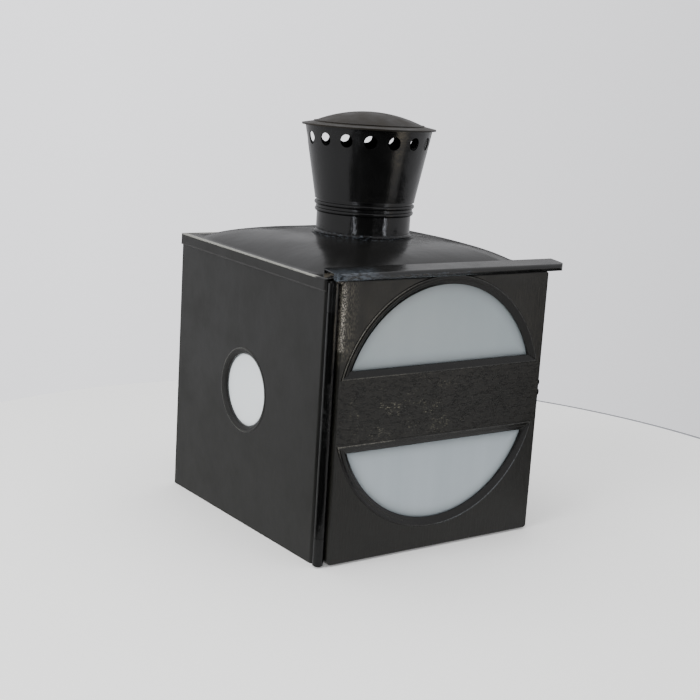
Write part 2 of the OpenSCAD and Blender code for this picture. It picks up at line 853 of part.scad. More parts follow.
module catch_rivet() {
    shank = frame_front + sheet - catch_front + turn_gap;
    boss = front_y - catch_back - turn_gap;
    color("dimgray") translate([catch_x, catch_front - turn_gap, catch_z]) rotate([-90, 0, 0]) {
        translate([0, 0, -head_h]) cylinder(r = head_r, h = head_h);
        cylinder(r = rivet_r, h = shank);
        translate([0, 0, catch_t + 2 * turn_gap]) cylinder(r = catch_boss_r, h = boss);
        translate([0, 0, shank]) cylinder(r = head_r, h = head_h);
    }
}

// Lamp
module lamp_rails() {
    web_x = base_w / 2 + loose_gap;
    color("silver") for (side = [0, 1]) mirror([side, 0, 0])
        translate([web_x + rail_t, base_l / 2, sheet]) rotate([90, 0, 0]) linear_extrude(base_l)
            difference() {
                translate([-rail_lip, 0]) square([rail_lip, rail_h]);
                translate([-rail_lip - cut, rail_t])
                    square([rail_lip + cut - rail_t, rail_h - 2 * rail_t]);
            }
}

module lamp_base() {
    pull_w = 40;
    pull_h = 16;
    pull_hole_r = 4;
    front = -base_l / 2;
    color("silver") difference() {
        union() {
            block([-base_w / 2, front, base_z], [base_w / 2, base_l / 2, font_z]);
            block([-pull_w / 2, front, base_z], [pull_w / 2, front + base_t, base_z + pull_h]);
        }
        translate([0, front - cut, base_z + pull_h - 2 * pull_hole_r]) rotate([-90, 0, 0])
            cylinder(r = pull_hole_r, h = base_t + 2 * cut);
    }
}

module oil_font() {
    inner_r = font_r - lamp_sheet;
    neck_in_r = mouth_r - lamp_sheet;
    color("goldenrod") difference() {
        union() {
            rotate_extrude() polygon([[0, font_z], [font_r, font_z], [font_r, shoulder_z],
                [mouth_r, shoulder_z + shoulder_h], [mouth_r, mouth_z], [neck_in_r, mouth_z],
                [neck_in_r, shoulder_z + shoulder_h - lamp_sheet], [inner_r, shoulder_z - lamp_sheet],
                [inner_r, font_z + lamp_sheet], [0, font_z + lamp_sheet]]);
            translate([filler_x, 0, shoulder_z]) cylinder(r = filler_r, h = filler_top - shoulder_z);
        }
        translate([filler_x, 0, shoulder_z - shoulder_h])
            cylinder(r = filler_r - lamp_sheet, h = filler_top - shoulder_z + shoulder_h + cut);
    }
}

module filler_cap() {
    skirt_h = 5.5;
    skirt_t = 1.5;
    crown_t = 1.2;
    bar_l = 14;
    bar_t = 3;
    grip_h = 5;
    bore_r = filler_r + run_gap;
    color("goldenrod") translate([filler_x, 0, filler_top]) {
        difference() {
            translate([0, 0, -skirt_h]) cylinder(r = bore_r + skirt_t, h = skirt_h + run_gap + crown_t);
            translate([0, 0, -skirt_h - cut]) cylinder(r = bore_r, h = skirt_h + cut + run_gap);
        }
        translate([-bar_l / 2, -bar_t / 2, run_gap + crown_t]) cube([bar_l, bar_t, grip_h]);
    }
}

module burner_collar() {
    skirt_in = mouth_r + seat_gap;
    skirt_t = 2;
    rim_w = 1.4;
    skirt_out = skirt_in + skirt_t;
    hole_r = basket_low_r - rim_w;
    color("goldenrod") rotate_extrude() polygon([[skirt_in, shoulder_z + shoulder_h + loose_gap],
        [skirt_out, shoulder_z + shoulder_h + loose_gap], [skirt_out, basket_z], [hole_r, basket_z],
        [hole_r, mouth_z], [skirt_in, mouth_z]]);
}

module burner_basket() {
    hole_r = 2.6;
    holes = 11;
    hole_step = 26;
    color("goldenrod") difference() {
        rotate_extrude() {
            translate([0, basket_z]) square([basket_low_r, lamp_sheet]);
            polygon([[basket_low_r - lamp_sheet, basket_z], [basket_low_r, basket_z],
                [basket_r, gallery_z], [basket_r - lamp_sheet, gallery_z]]);
        }
        block([-tube_out_x - seat_gap, -tube_out_y - seat_gap, basket_z - cut],
            [tube_out_x + seat_gap, tube_out_y + seat_gap, basket_z + lamp_sheet + cut]);
        for (i = [0 : holes - 1]) rotate(90 + (i - (holes - 1) / 2) * hole_step)
            translate([basket_low_r - 2 * cut, 0, spindle_z]) rotate([0, 90, 0])
                cylinder(r = hole_r, h = basket_r);
        translate([spindle_x, -basket_r - cut, spindle_z]) rotate([-90, 0, 0])
            cylinder(r = spindle_r + run_gap, h = basket_r / 2 + cut);
    }
}

module wick_tube() {
    window_gap = 0.6;
    ear_w = 1.6;
    ear_wall = 2.5;
    window_y = wheel_y + wheel_w / 2 + window_gap;
    window_z = wheel_r + window_gap;
    ear_x = spindle_x + spindle_r + ear_w;
    ear_h = 2 * (spindle_r + ear_wall);
    color("goldenrod") difference() {
        union() {
            block([-tube_out_x, -tube_out_y, tube_low], [tube_out_x, tube_out_y, tube_top]);
            for (side = [-1, 1])
                translate([tube_in_x, side * (ear_y + ear_t / 2) - ear_t / 2, spindle_z - ear_h / 2])
                    cube([ear_x - tube_in_x, ear_t, ear_h]);
        }
        block([-tube_in_x, -tube_in_y, tube_low - cut], [tube_in_x, tube_in_y, tube_top + cut]);
        block([0, -window_y, spindle_z - window_z], [tube_out_x + cut, window_y, spindle_z + window_z]);
        translate([spindle_x, -tube_out_y - cut, spindle_z]) rotate([-90, 0, 0])
            cylinder(r = spindle_r + run_gap, h = 2 * (tube_out_y + cut));
    }
}

module wick() {
    color("ivory") block([-wick_t / 2, -wick_w / 2, wick_top - wick_l], [wick_t / 2, wick_w / 2, wick_top]);
}

module wick_spindle() {
    tooth_h = 0.9;
    root_r = wheel_r - tooth_h;
    tail = 1;
    back = ear_y + ear_t + tail;
    star = [for (i = [0 : 2 * teeth - 1])
        let (r = i % 2 == 0 ? wheel_r : root_r) r * [cos(180 * i / teeth), sin(180 * i / teeth)]];
    color("goldenrod") translate([spindle_x, 0, spindle_z]) rotate([90, 0, 0]) {
        translate([0, 0, -back]) cylinder(r = spindle_r, h = back - knob_y + knob_w);
        for (side = [-1, 1])
            translate([0, 0, side * wheel_y - wheel_w / 2]) linear_extrude(wheel_w) polygon(star);
    }
}

module wick_knob() {
    notches = 14;
    notch_r = 0.9;
    hub_r = 4;
    hub_h = 3;
    color("goldenrod") translate([spindle_x, knob_y, spindle_z]) rotate([90, 0, 0]) difference() {
        union() {
            linear_extrude(knob_w) difference() {
                circle(knob_r);
                for (i = [0 : notches - 1])
                    rotate(360 * i / notches) translate([knob_r, 0]) circle(notch_r);
            }
            translate([0, 0, -hub_h]) cylinder(r = hub_r, h = hub_h + cut);
        }
        translate([0, 0, -hub_h - cut]) cylinder(r = spindle_r + run_gap, h = knob_w + hub_h + 2 * cut);
    }
}

module glass_gallery() {
    prong_in = glass_r + prong_gap;
    prong_out = prong_in + prong_t;
    prong_w = 11;
    color("goldenrod") {
        rotate_extrude() translate([gallery_hole_r, gallery_z])
            square([prong_out - gallery_hole_r, gallery_t]);
        intersection() {
            translate([0, 0, glass_z]) difference() {
                cylinder(r = prong_out, h = prong_h);
                translate([0, 0, -cut]) cylinder(r = prong_in, h = prong_h + 2 * cut);
            }
            for (a = [45, 135]) rotate(a)
                translate([0, 0, glass_z + prong_h / 2])
                    cube([2 * prong_out + cut, prong_w, prong_h + cut], center = true);
        }
    }
}

module burner_dome() {
    sphere_r = (pow(burner_r, 2) + pow(burner_h, 2)) / (2 * burner_h);
    slot_gap_x = 2;
    slot_gap_y = 1.5;
    slot_x = wick_t / 2 + slot_gap_x;
    slot_y = wick_w / 2 + slot_gap_y;
    color("goldenrod") difference() {
        rotate_extrude() translate([0, glass_z + burner_h - sphere_r]) intersection() {
            difference() {
                circle(sphere_r);
                circle(sphere_r - lamp_sheet);
            }
            translate([0, sphere_r - burner_h]) square([burner_r + cut, burner_h + cut]);
        }
        block([-slot_x, -slot_y, glass_z + burner_h / 2], [slot_x, slot_y, glass_z + burner_h + cut]);
    }
}

// Outer radius of the lamp glass: a straight foot, a bulge, then a long straight top
bulge_at = 44;
straight_at = 92;
function wave(t) = (1 - cos(180 * t)) / 2;
function lamp_glass_r(h) =
    h < prong_h ? glass_r
    : h < bulge_at ? glass_r + (bulge_r - glass_r) * wave((h - prong_h) / (bulge_at - prong_h))
    : h < straight_at ? bulge_r + (glass_top_r - bulge_r) * wave((h - bulge_at) / (straight_at - bulge_at))
    : glass_top_r;

module lamp_glass() {
    step = 4;
    heights = concat([0], [for (h = [prong_h : step : straight_at]) h], [straight_at + step, glass_h]);
    outer = [for (h = heights) [lamp_glass_r(h), glass_z + h]];
    inner = [for (i = [len(heights) - 1 : -1 : 0]) outer[i] - [glass_t, 0]];
    color("azure") rotate_extrude() polygon(concat(outer, inner));
}

left_wall();
right_wall();
back_wall();
floor_pan();
front_frame();
eaves_band();
roof();
rain_ledge();
chimney_neck();
chimney_cowl();
chimney_cap();
left_pane();
right_pane();
side_pane_clips();
door();
door_pane();
door_pane_clips();
hinge_leaves();
hinge_rivets();
hinge_pin();
turn_catch();
catch_rivet();
lamp_rails();
lamp_base();
oil_font();
filler_cap();
burner_collar();
burner_basket();
wick_tube();
wick();
wick_spindle();
wick_knob();
glass_gallery();
burner_dome();
lamp_glass();
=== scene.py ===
import math

import bpy
import numpy as np
from mathutils import Matrix, Vector


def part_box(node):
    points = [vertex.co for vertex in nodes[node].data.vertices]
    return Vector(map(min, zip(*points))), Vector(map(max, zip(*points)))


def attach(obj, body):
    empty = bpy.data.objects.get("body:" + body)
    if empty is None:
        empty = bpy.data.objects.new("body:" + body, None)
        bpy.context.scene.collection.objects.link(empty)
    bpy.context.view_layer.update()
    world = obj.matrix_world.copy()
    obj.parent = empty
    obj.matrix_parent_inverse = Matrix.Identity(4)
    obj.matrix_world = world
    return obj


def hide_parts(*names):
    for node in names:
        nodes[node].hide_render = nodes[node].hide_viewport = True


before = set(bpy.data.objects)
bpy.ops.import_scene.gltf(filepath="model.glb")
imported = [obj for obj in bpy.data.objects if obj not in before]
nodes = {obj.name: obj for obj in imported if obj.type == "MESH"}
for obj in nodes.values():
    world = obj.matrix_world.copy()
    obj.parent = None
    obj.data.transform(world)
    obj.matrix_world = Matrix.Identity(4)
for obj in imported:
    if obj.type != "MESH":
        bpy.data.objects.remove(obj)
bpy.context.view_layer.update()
mm = 0.001
print("frame loaded:", len(nodes), "nodes")


# Camera: where the photograph was taken from, as a bearing round the lantern
photoView = {
    "azimuth": -35.98,  # degrees, 0 looks at the door square on
    "elevation": 11.91,
    "roll": 3.58,
    "distance": 1355.8 * mm,
    "target": (-4.1 * mm, 3.0 * mm, 163.0 * mm),
    "lens": 67.95,
    "sensor": 36.0,
}


def bearing(azimuth, elevation):
    # unit vector from the lantern towards a place at that azimuth and elevation
    a, e = math.radians(azimuth), math.radians(elevation)
    return Vector((math.sin(a) * math.cos(e), -math.cos(a) * math.cos(e), math.sin(e)))


def makeCamera(view):
    back = bearing(view["azimuth"], view["elevation"])
    right = Vector((0, 0, 1)).cross(back).normalized()
    turn = Matrix.Rotation(math.radians(view["roll"]), 3, back)
    right = turn @ right
    up = back.cross(right)
    data = bpy.data.cameras.new("photoCamera")
    data.lens = view["lens"]
    data.sensor_width = view["sensor"]
    data.clip_start = 10 * mm
    camera = bpy.data.objects.new("photoCamera", data)
    place = Matrix((right, up, back)).transposed().to_4x4()
    place.translation = Vector(view["target"]) + back * view["distance"]
    camera.matrix_world = place
    bpy.context.scene.collection.objects.link(camera)
    bpy.context.scene.camera = camera


makeCamera(photoView)
print("camera set")


# Materials
def hexLinear(code):
    # sRGB hex to linear, with alpha 1
    parts = [int(code[i:i + 2], 16) / 255 for i in (1, 3, 5)]
    return tuple(c / 12.92 if c <= 0.04045 else ((c + 0.055) / 1.055) ** 2.4 for c in parts) + (1,)


def addNode(tree, kind, inputs=None, **settings):
    node = tree.nodes.new(kind)
    for key, value in settings.items():
        setattr(node, key, value)
    for key, value in (inputs or {}).items():
        if isinstance(value, bpy.types.NodeSocket):
            tree.links.new(value, node.inputs[key])
        else:
            node.inputs[key].default_value = value
    return node


def startMaterial(name):
    material = bpy.data.materials.new(name)
    material.use_nodes = True
    tree = material.node_tree
    shader = tree.nodes["Principled BSDF"]
    place = addNode(tree, "ShaderNodeTexCoord").outputs["Object"]
    return material, tree, shader, place


def perMm(size):
    # texture scale for a feature of that many millimetres, on Object coordinates in metres
    return 1 / (size * mm)


def stretched(tree, place, sizes):
    # Object coordinates scaled so that one noise cell is sizes (x, y, z) millimetres
    scale = tuple(perMm(s) for s in sizes)
    return addNode(tree, "ShaderNodeMapping", {"Vector": place, "Scale": scale}).outputs[0]


def cellNoise(tree, place, sizes, detail, roughness=0.5):
    # noise whose cells are sizes (x, y, z) millimetres
    return addNode(tree, "ShaderNodeTexNoise", {
        "Vector": stretched(tree, place, sizes), "Scale": 1.0, "Detail": detail,
        "Roughness": roughness}).outputs[0]


def offFrom(tree, place, middle):
    # Object coordinates measured from that middle
    return addNode(tree, "ShaderNodeVectorMath", {0: place, 1: middle}, operation="SUBTRACT").outputs[0]


def lipZone(tree, place, lips):
    # 1 along the crest of the door's lips: a ring round the light and two strips along the bar
    off = offFrom(tree, place, lips["middle"])
    flat = addNode(tree, "ShaderNodeVectorMath", {0: off, 1: lips["plane"]}, operation="MULTIPLY").outputs[0]
    radius = addNode(tree, "ShaderNodeVectorMath", {0: flat}, operation="LENGTH").outputs["Value"]
    height = addNode(tree, "ShaderNodeSeparateXYZ", {"Vector": flat}).outputs["Z"]
    height = addNode(tree, "ShaderNodeMath", {0: height}, operation="ABSOLUTE").outputs[0]
    half = lips["width"] / 2
    zones = []
    for value, middle in ((radius, lips["radius"] + half), (height, lips["bar"] + half)):
        away = addNode(tree, "ShaderNodeMath", {0: value, 1: middle}, operation="SUBTRACT").outputs[0]
        away = addNode(tree, "ShaderNodeMath", {0: away}, operation="ABSOLUTE").outputs[0]
        zones.append(addNode(tree, "ShaderNodeMapRange", {
            "Value": away, "From Min": half - 0.2 * mm, "From Max": half + 0.3 * mm,
            "To Min": 1.0, "To Max": 0.0}).outputs[0])
    inside = addNode(tree, "ShaderNodeMath", {
        0: radius, 1: lips["radius"] + lips["width"]}, operation="LESS_THAN").outputs[0]
    strips = addNode(tree, "ShaderNodeMath", {0: zones[1], 1: inside}, operation="MULTIPLY").outputs[0]
    return addNode(tree, "ShaderNodeMath", {0: zones[0], 1: strips}, operation="MAXIMUM").outputs[0]


def boxZone(tree, place, zone):
    # 1 inside a box and 0 outside, with a soft border; the other way round for an outside zone
    off = offFrom(tree, place, zone["middle"])
    off = addNode(tree, "ShaderNodeVectorMath", {0: off}, operation="ABSOLUTE").outputs[0]
    off = addNode(tree, "ShaderNodeVectorMath", {0: off, 1: zone["half"]}, operation="SUBTRACT").outputs[0]
    axes = addNode(tree, "ShaderNodeSeparateXYZ", {"Vector": off}).outputs
    far = addNode(tree, "ShaderNodeMath", {0: axes["X"], 1: axes["Y"]}, operation="MAXIMUM").outputs[0]
    far = addNode(tree, "ShaderNodeMath", {0: far, 1: axes["Z"]}, operation="MAXIMUM").outputs[0]
    inside = 0.0 if zone.get("outside") else 1.0
    return addNode(tree, "ShaderNodeMapRange", {
        "Value": far, "From Min": -zone["soft"], "From Max": zone["soft"],
        "To Min": inside, "To Max": 1.0 - inside}, interpolation_type="SMOOTHSTEP").outputs[0]


def wearAndLightAmount(tree, place, wearAndLight):
    # how much of a mark shows, for worn paint and for painted highlights and painted shade alike: grit inside
    # the zone, in clusters where the mark has them
    amount = boxZone(tree, place, wearAndLight)
    if "crest" in wearAndLight:
        crest = lipZone(tree, place, wearAndLight["crest"])
        amount = addNode(tree, "ShaderNodeMath", {0: amount, 1: crest}, operation="MULTIPLY").outputs[0]
    layers = [(wearAndLight["grit"], wearAndLight["cover"])]
    if "cluster" in wearAndLight:
        layers.append((wearAndLight["cluster"], wearAndLight["patchy"]))
    for sizes, limits in layers:
        noise = cellNoise(tree, place, sizes, 3.0, 0.6)
        bareAndLit = addNode(tree, "ShaderNodeMapRange", {
            "Value": noise, "From Min": limits[0], "From Max": limits[1]}).outputs[0]
        amount = addNode(tree, "ShaderNodeMath", {0: amount, 1: bareAndLit}, operation="MULTIPLY").outputs[0]
    return amount


def enamel(name, look):
    # Oil gloss enamel, brushed by hand over sheet iron: near black, a hard shiny skin that shows
    # brush strokes, orange peel and old flakes under the top coat
    material, tree, shader, place = startMaterial(name)
    strokes = cellNoise(tree, place, look["stroke"], 4.0, 0.6)
    peel = addNode(tree, "ShaderNodeTexNoise", {
        "Vector": place, "Scale": perMm(look["peel"]), "Detail": 2.0}).outputs[0]
    swell = addNode(tree, "ShaderNodeTexNoise", {
        "Vector": place, "Scale": perMm(look["swell"]), "Detail": 3.0}).outputs[0]
    if "bar" in look:
        bar = look["bar"]
        cross = cellNoise(tree, place, bar["stroke"], 5.0, 0.65)
        height = addNode(tree, "ShaderNodeSeparateXYZ", {"Vector": place}).outputs["Z"]
        off = addNode(tree, "ShaderNodeMath", {0: height, 1: bar["middle"]}, operation="SUBTRACT").outputs[0]
        away = addNode(tree, "ShaderNodeMath", {0: off}, operation="ABSOLUTE").outputs[0]
        onBar = addNode(tree, "ShaderNodeMapRange", {
            "Value": away, "From Min": bar["half"] - 4 * mm, "From Max": bar["half"] + 1 * mm,
            "To Min": 1.0, "To Max": 0.0}, interpolation_type="SMOOTHSTEP").outputs[0]
        strokes = addNode(tree, "ShaderNodeMix", {
            0: onBar, 2: strokes, 3: cross}, data_type="FLOAT").outputs[0]
        islands = cellNoise(tree, place, bar["flake"], 6.0, 0.7)
        flakes = addNode(tree, "ShaderNodeMapRange", {
            "Value": islands, "From Min": bar["flakeCover"][0], "From Max": bar["flakeCover"][1]},
            interpolation_type="SMOOTHSTEP").outputs[0]
        flakes = addNode(tree, "ShaderNodeMath", {0: flakes, 1: onBar}, operation="MULTIPLY").outputs[0]
    tone = addNode(tree, "ShaderNodeMix", {
        0: swell, 6: hexLinear(look["dark"]), 7: hexLinear(look["light"])}, data_type="RGBA").outputs[2]
    wornAndLit = []
    # worn paint, painted highlights and painted shade, each laid over the tone and given a little relief
    for wearAndLight in look.get("wearAndLight", ()):
        amount = wearAndLightAmount(tree, place, wearAndLight)
        tone = addNode(tree, "ShaderNodeMix", {
            0: amount, 6: tone, 7: hexLinear(wearAndLight["bareAndLit"])}, data_type="RGBA").outputs[2]
        wornAndLit.append((amount, wearAndLight["depth"]))
    tree.links.new(tone, shader.inputs["Base Color"])
    rough = addNode(tree, "ShaderNodeMapRange", {
        "Value": swell, "From Min": 0.3, "From Max": 0.7,
        "To Min": look["rough"][0], "To Max": look["rough"][1]}).outputs[0]
    if "polish" in look:  # paint rubbed smooth
        rubbed = boxZone(tree, place, look["polish"])
        rough = addNode(tree, "ShaderNodeMix", {
            0: rubbed, 2: rough, 3: look["polish"]["rough"]}, data_type="FLOAT").outputs[0]
    tree.links.new(rough, shader.inputs["Roughness"])
    bump = addNode(tree, "ShaderNodeBump", {
        "Height": swell, "Strength": 1.0, "Distance": look["swellDepth"] * mm}).outputs[0]
    bump = addNode(tree, "ShaderNodeBump", {
        "Height": strokes, "Strength": 1.0, "Distance": look["strokeDepth"] * mm, "Normal": bump}).outputs[0]
    bump = addNode(tree, "ShaderNodeBump", {
        "Height": peel, "Strength": 1.0, "Distance": look["peelDepth"] * mm, "Normal": bump}).outputs[0]
    if "bar" in look:
        bump = addNode(tree, "ShaderNodeBump", {
            "Height": flakes, "Strength": 1.0, "Distance": look["bar"]["flakeDepth"] * mm,
            "Normal": bump}).outputs[0]
    for amount, depth in wornAndLit:
        bump = addNode(tree, "ShaderNodeBump", {
            "Height": amount, "Strength": 1.0, "Distance": depth * mm, "Normal": bump}).outputs[0]
    tree.links.new(bump, shader.inputs["Normal"])
    shader.inputs["IOR"].default_value = look["ior"]
    return material


doorLow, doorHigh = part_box("door")
knuckleWide = 10.4 * mm  # hinge knuckle and its web
doorLeft = doorLow.x + knuckleWide  # edge of the tray beside the knuckle
doorMiddle = 0.5 * (doorLeft + doorHigh.x)
lightMiddle = 143.4 * mm
barHalf = 30.45 * mm

# painted highlight: a pale sparkle down the door's left edge and round its upper-left corner, laid on as
# flecks of a lighter colour
edgePaintedHighlight = {"middle": (doorLeft + 2 * mm, doorLow.y, 232 * mm), "half": (1.6 * mm, 30 * mm, 30 * mm),
            "soft": 3 * mm, "grit": (0.9, 0.9, 1.5), "cover": (0.5, 0.6), "bareAndLit": "#cfc8ba", "depth": 0.12}
cornerPaintedHighlight = {"middle": (doorLeft + 8 * mm, doorLow.y, 228 * mm), "half": (5 * mm, 30 * mm, 34 * mm),
              "soft": 10 * mm, "grit": (1.0, 1.0, 2.4), "cover": (0.44, 0.74), "bareAndLit": "#6e685b",
              "depth": 0.12}
# painted shade: the hinge knuckle strip at the door's left edge is coloured near black
knucklePaintedShade = {"middle": (doorLow.x, 0, 0), "half": (9.8 * mm, 1.0, 1.0), "soft": 0.4 * mm,
               "grit": (20.0, 20.0, 60.0), "cover": (0.0, 0.1), "bareAndLit": "#070707", "depth": 0.0}
barWear = {"middle": (doorMiddle - 34 * mm, doorLow.y, lightMiddle), "half": (66 * mm, 30 * mm, 24 * mm),
           "soft": 18 * mm, "grit": (2.8, 2.8, 1.2), "cover": (0.57, 0.7), "cluster": (22.0, 22.0, 15.0),
           "patchy": (0.5, 0.62), "bareAndLit": "#827e6d", "depth": 0.2}

doorEnamel = enamel("brushedBlackEnamel", {
    "dark": "#141412", "light": "#22211e", "rough": (0.28, 0.44), "ior": 1.5,
    "stroke": (1.5, 6.0, 14.0), "strokeDepth": 0.3,
    "peel": 1.6, "peelDepth": 0.1,
    "swell": 22.0, "swellDepth": 0.6,
    "bar": {"middle": lightMiddle, "half": barHalf, "stroke": (20.0, 6.0, 1.2),
            "flake": (6.0, 6.0, 2.0), "flakeCover": (0.54, 0.6), "flakeDepth": 0.16},
    "wearAndLight": (cornerPaintedHighlight, edgePaintedHighlight, barWear, knucklePaintedShade),
    "polish": dict(knucklePaintedShade, rough=0.1),
})
crestLine = {"middle": (doorMiddle - 1.6 * mm, 0, lightMiddle + 0.7 * mm), "radius": 120.0 * mm,
             "width": 1.1 * mm, "bar": barHalf, "plane": (1, 0, 1)}
# rubbed paint and painted highlight: lighter lines along the crests of the door's lips, strongest at the
# upper left, the lower chord and the lower right
crestWearAndHighlight = {"middle": (doorMiddle + 90 * mm, doorLow.y, lightMiddle), "half": (110 * mm, 1.0, 1.0),
             "soft": 50 * mm, "crest": crestLine, "grit": (6.0, 6.0, 6.0), "cover": (0.25, 0.6),
             "bareAndLit": "#343432", "depth": 0.02}
crestLeft = dict(crestWearAndHighlight, middle=(doorMiddle - 118 * mm, doorLow.y, lightMiddle + 74 * mm),
                 half=(70 * mm, 1.0, 40 * mm), soft=30 * mm, grit=(2.0, 2.0, 2.0), cover=(0.25, 0.7),
                 bareAndLit="#6f6d65")
crestLow = dict(crestWearAndHighlight, middle=(doorMiddle - 92 * mm, doorLow.y, lightMiddle - barHalf),
                half=(34 * mm, 1.0, 4 * mm), soft=10 * mm, grit=(2.0, 2.0, 2.0), cover=(0.3, 0.7),
                bareAndLit="#6f6d66")
crestRight = dict(crestWearAndHighlight, middle=(doorMiddle + 70 * mm, doorLow.y, lightMiddle - 90 * mm),
                  half=(60 * mm, 1.0, 40 * mm), soft=20 * mm, grit=(2.0, 2.0, 2.0), cover=(0.3, 0.7),
                  bareAndLit="#5b5f64")
lipLook = {
    "dark": "#0b0b0a", "light": "#161513", "rough": (0.14, 0.24), "ior": 1.5,
    "stroke": (6.0, 6.0, 6.0), "strokeDepth": 0.04,
    "peel": 2.0, "peelDepth": 0.01,
    "swell": 14.0, "swellDepth": 0.2,
}
lipEnamel = enamel("rubbedLipEnamelAndPaintedHighlight", dict(lipLook, wearAndLight=(crestWearAndHighlight, crestLeft, crestLow, crestRight)))
sideMiddle = 133 * mm
ringLine = {"middle": (0, 0, sideMiddle), "radius": 40.5 * mm, "width": 0.9 * mm,
            "bar": -1.0, "plane": (0, 1, 1)}
# rubbed paint and painted highlight: a lighter line along the crest of each side light's ring
ringWearAndHighlight = dict(crestWearAndHighlight, middle=(0, 40 * mm, sideMiddle), half=(1.0, 48 * mm, 1.0), soft=18 * mm,
                crest=ringLine, cover=(0.2, 0.7), bareAndLit="#444440")
ringEnamel = enamel("rubbedRingEnamelAndPaintedHighlight", dict(lipLook, wearAndLight=(ringWearAndHighlight,)))
wallEnamel = enamel("satinBlackEnamel", {
    "dark": "#10100f", "light": "#1d1d1b", "rough": (0.3, 0.5), "ior": 1.5,
    "stroke": (3.0, 3.0, 60.0), "strokeDepth": 0.03,
    "peel": 2.4, "peelDepth": 0.01,
    "swell": 38.0, "swellDepth": 0.5,
})
# worn paint and painted highlight: a lighter, gritty band along the roof's flat rim
rimWearAndHighlight = {"middle": (0, 0, 0), "half": (128.0 * mm, 128.0 * mm, 1.0), "soft": 1.2 * mm, "outside": True,
           "grit": (9.0, 9.0, 9.0), "cover": (0.15, 0.4), "bareAndLit": "#7e7e78", "depth": 0.05}
roofLook = {
    "dark": "#0c0c0c", "light": "#161615", "rough": (0.16, 0.28), "ior": 1.6,
    "stroke": (26.0, 3.0, 3.0), "strokeDepth": 0.09,
    "peel": 3.0, "peelDepth": 0.025,
    "swell": 40.0, "swellDepth": 0.7,
}
# darker under the ledge's left end: the roof's rim is coloured near black again at the front-left corner
ledgeEndDarker = {"middle": (-133 * mm, -133 * mm, 268 * mm), "half": (16 * mm, 18 * mm, 12 * mm), "soft": 4 * mm,
              "grit": (9.0, 9.0, 9.0), "cover": (0.0, 0.1), "bareAndLit": "#0b0b0a", "depth": 0.02}
roofEnamel = enamel("pouredBlackEnamel", dict(roofLook, wearAndLight=(rimWearAndHighlight, ledgeEndDarker)))
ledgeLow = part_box("rain_ledge")[0]
# painted highlight: a bluish-grey line along the ledge's nose, brighter and wider at its left end, broken up
# into flecks
nosePaintedHighlight = {"middle": (ledgeLow.x, ledgeLow.y, ledgeLow.z), "half": (150 * mm, 3.4 * mm, 4.6 * mm),
            "soft": 1.0 * mm, "grit": (5.0, 1.2, 1.2), "cover": (0.42, 0.75), "bareAndLit": "#3c4249", "depth": 0.1}
noseEndPaintedHighlight = dict(nosePaintedHighlight, half=(34 * mm, 3.4 * mm, 5.2 * mm), soft=22 * mm, cover=(0.36, 0.62),
                   bareAndLit="#5a626b")
ledgeEnamel = enamel("ledgeEnamelPaintedHighlight", dict(roofLook, wearAndLight=(nosePaintedHighlight, noseEndPaintedHighlight)))
chimneyLook = {
    "dark": "#090909", "light": "#121212", "rough": (0.12, 0.24), "ior": 1.5,
    "stroke": (5.0, 5.0, 1.6), "strokeDepth": 0.06,
    "peel": 1.8, "peelDepth": 0.07,
    "swell": 18.0, "swellDepth": 0.35,
}
chimneyEnamel = enamel("glossBlackEnamel", chimneyLook)
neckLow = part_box("chimney_neck")[0]
# painted highlight: a bluish-grey band round the foot of the chimney neck
footPaintedHighlight = {"middle": (0, 0, neckLow.z + 2 * mm), "half": (1.0, 1.0, 2.4 * mm), "soft": 0.6 * mm,
            "grit": (4.0, 4.0, 1.5), "cover": (0.5, 0.8), "bareAndLit": "#454a50", "depth": 0.03}
neckEnamel = enamel("glossNeckEnamelPaintedHighlight", dict(chimneyLook, rough=(0.05, 0.1), wearAndLight=(footPaintedHighlight,)))
capEnamel = enamel("sootedEnamel", {
    "dark": "#0e0d0b", "light": "#211c14", "rough": (0.34, 0.5), "ior": 1.4,
    "stroke": (6.0, 6.0, 6.0), "strokeDepth": 0.04,
    "peel": 2.2, "peelDepth": 0.03,
    "swell": 16.0, "swellDepth": 0.4,
})
# thin paint on the solder bead, made lighter than the walls as a painted highlight: the bead shows as a light
# line under the eaves
thinPaintAndHighlight = enamel("thinPaintOnSolderAndHighlight", {
    "dark": "#252524", "light": "#323130", "rough": (0.4, 0.5), "ior": 1.5,
    "stroke": (6.0, 6.0, 6.0), "strokeDepth": 0.02,
    "peel": 2.0, "peelDepth": 0.01,
    "swell": 12.0, "swellDepth": 0.05,
})


def lightEdge(tree, place, edge):
    # 0 in the middle of a half-moon light, 1 at its arc and at the bar
    off = offFrom(tree, place, edge["middle"])
    flat = addNode(tree, "ShaderNodeVectorMath", {0: off, 1: (1, 0, 1)}, operation="MULTIPLY").outputs[0]
    radius = addNode(tree, "ShaderNodeVectorMath", {0: flat}, operation="LENGTH").outputs["Value"]
    height = addNode(tree, "ShaderNodeSeparateXYZ", {"Vector": flat}).outputs["Z"]
    height = addNode(tree, "ShaderNodeMath", {0: height}, operation="ABSOLUTE").outputs[0]
    arc = addNode(tree, "ShaderNodeMapRange", {
        "Value": radius, "From Min": edge["radius"] - edge["wide"], "From Max": edge["radius"]}).outputs[0]
    bar = addNode(tree, "ShaderNodeMapRange", {
        "Value": height, "From Min": edge["bar"] + edge["wide"], "From Max": edge["bar"]}).outputs[0]
    near = addNode(tree, "ShaderNodeMath", {0: arc, 1: bar}, operation="MAXIMUM").outputs[0]
    return addNode(tree, "ShaderNodeMath", {0: near, 1: 2.0}, operation="POWER").outputs[0]


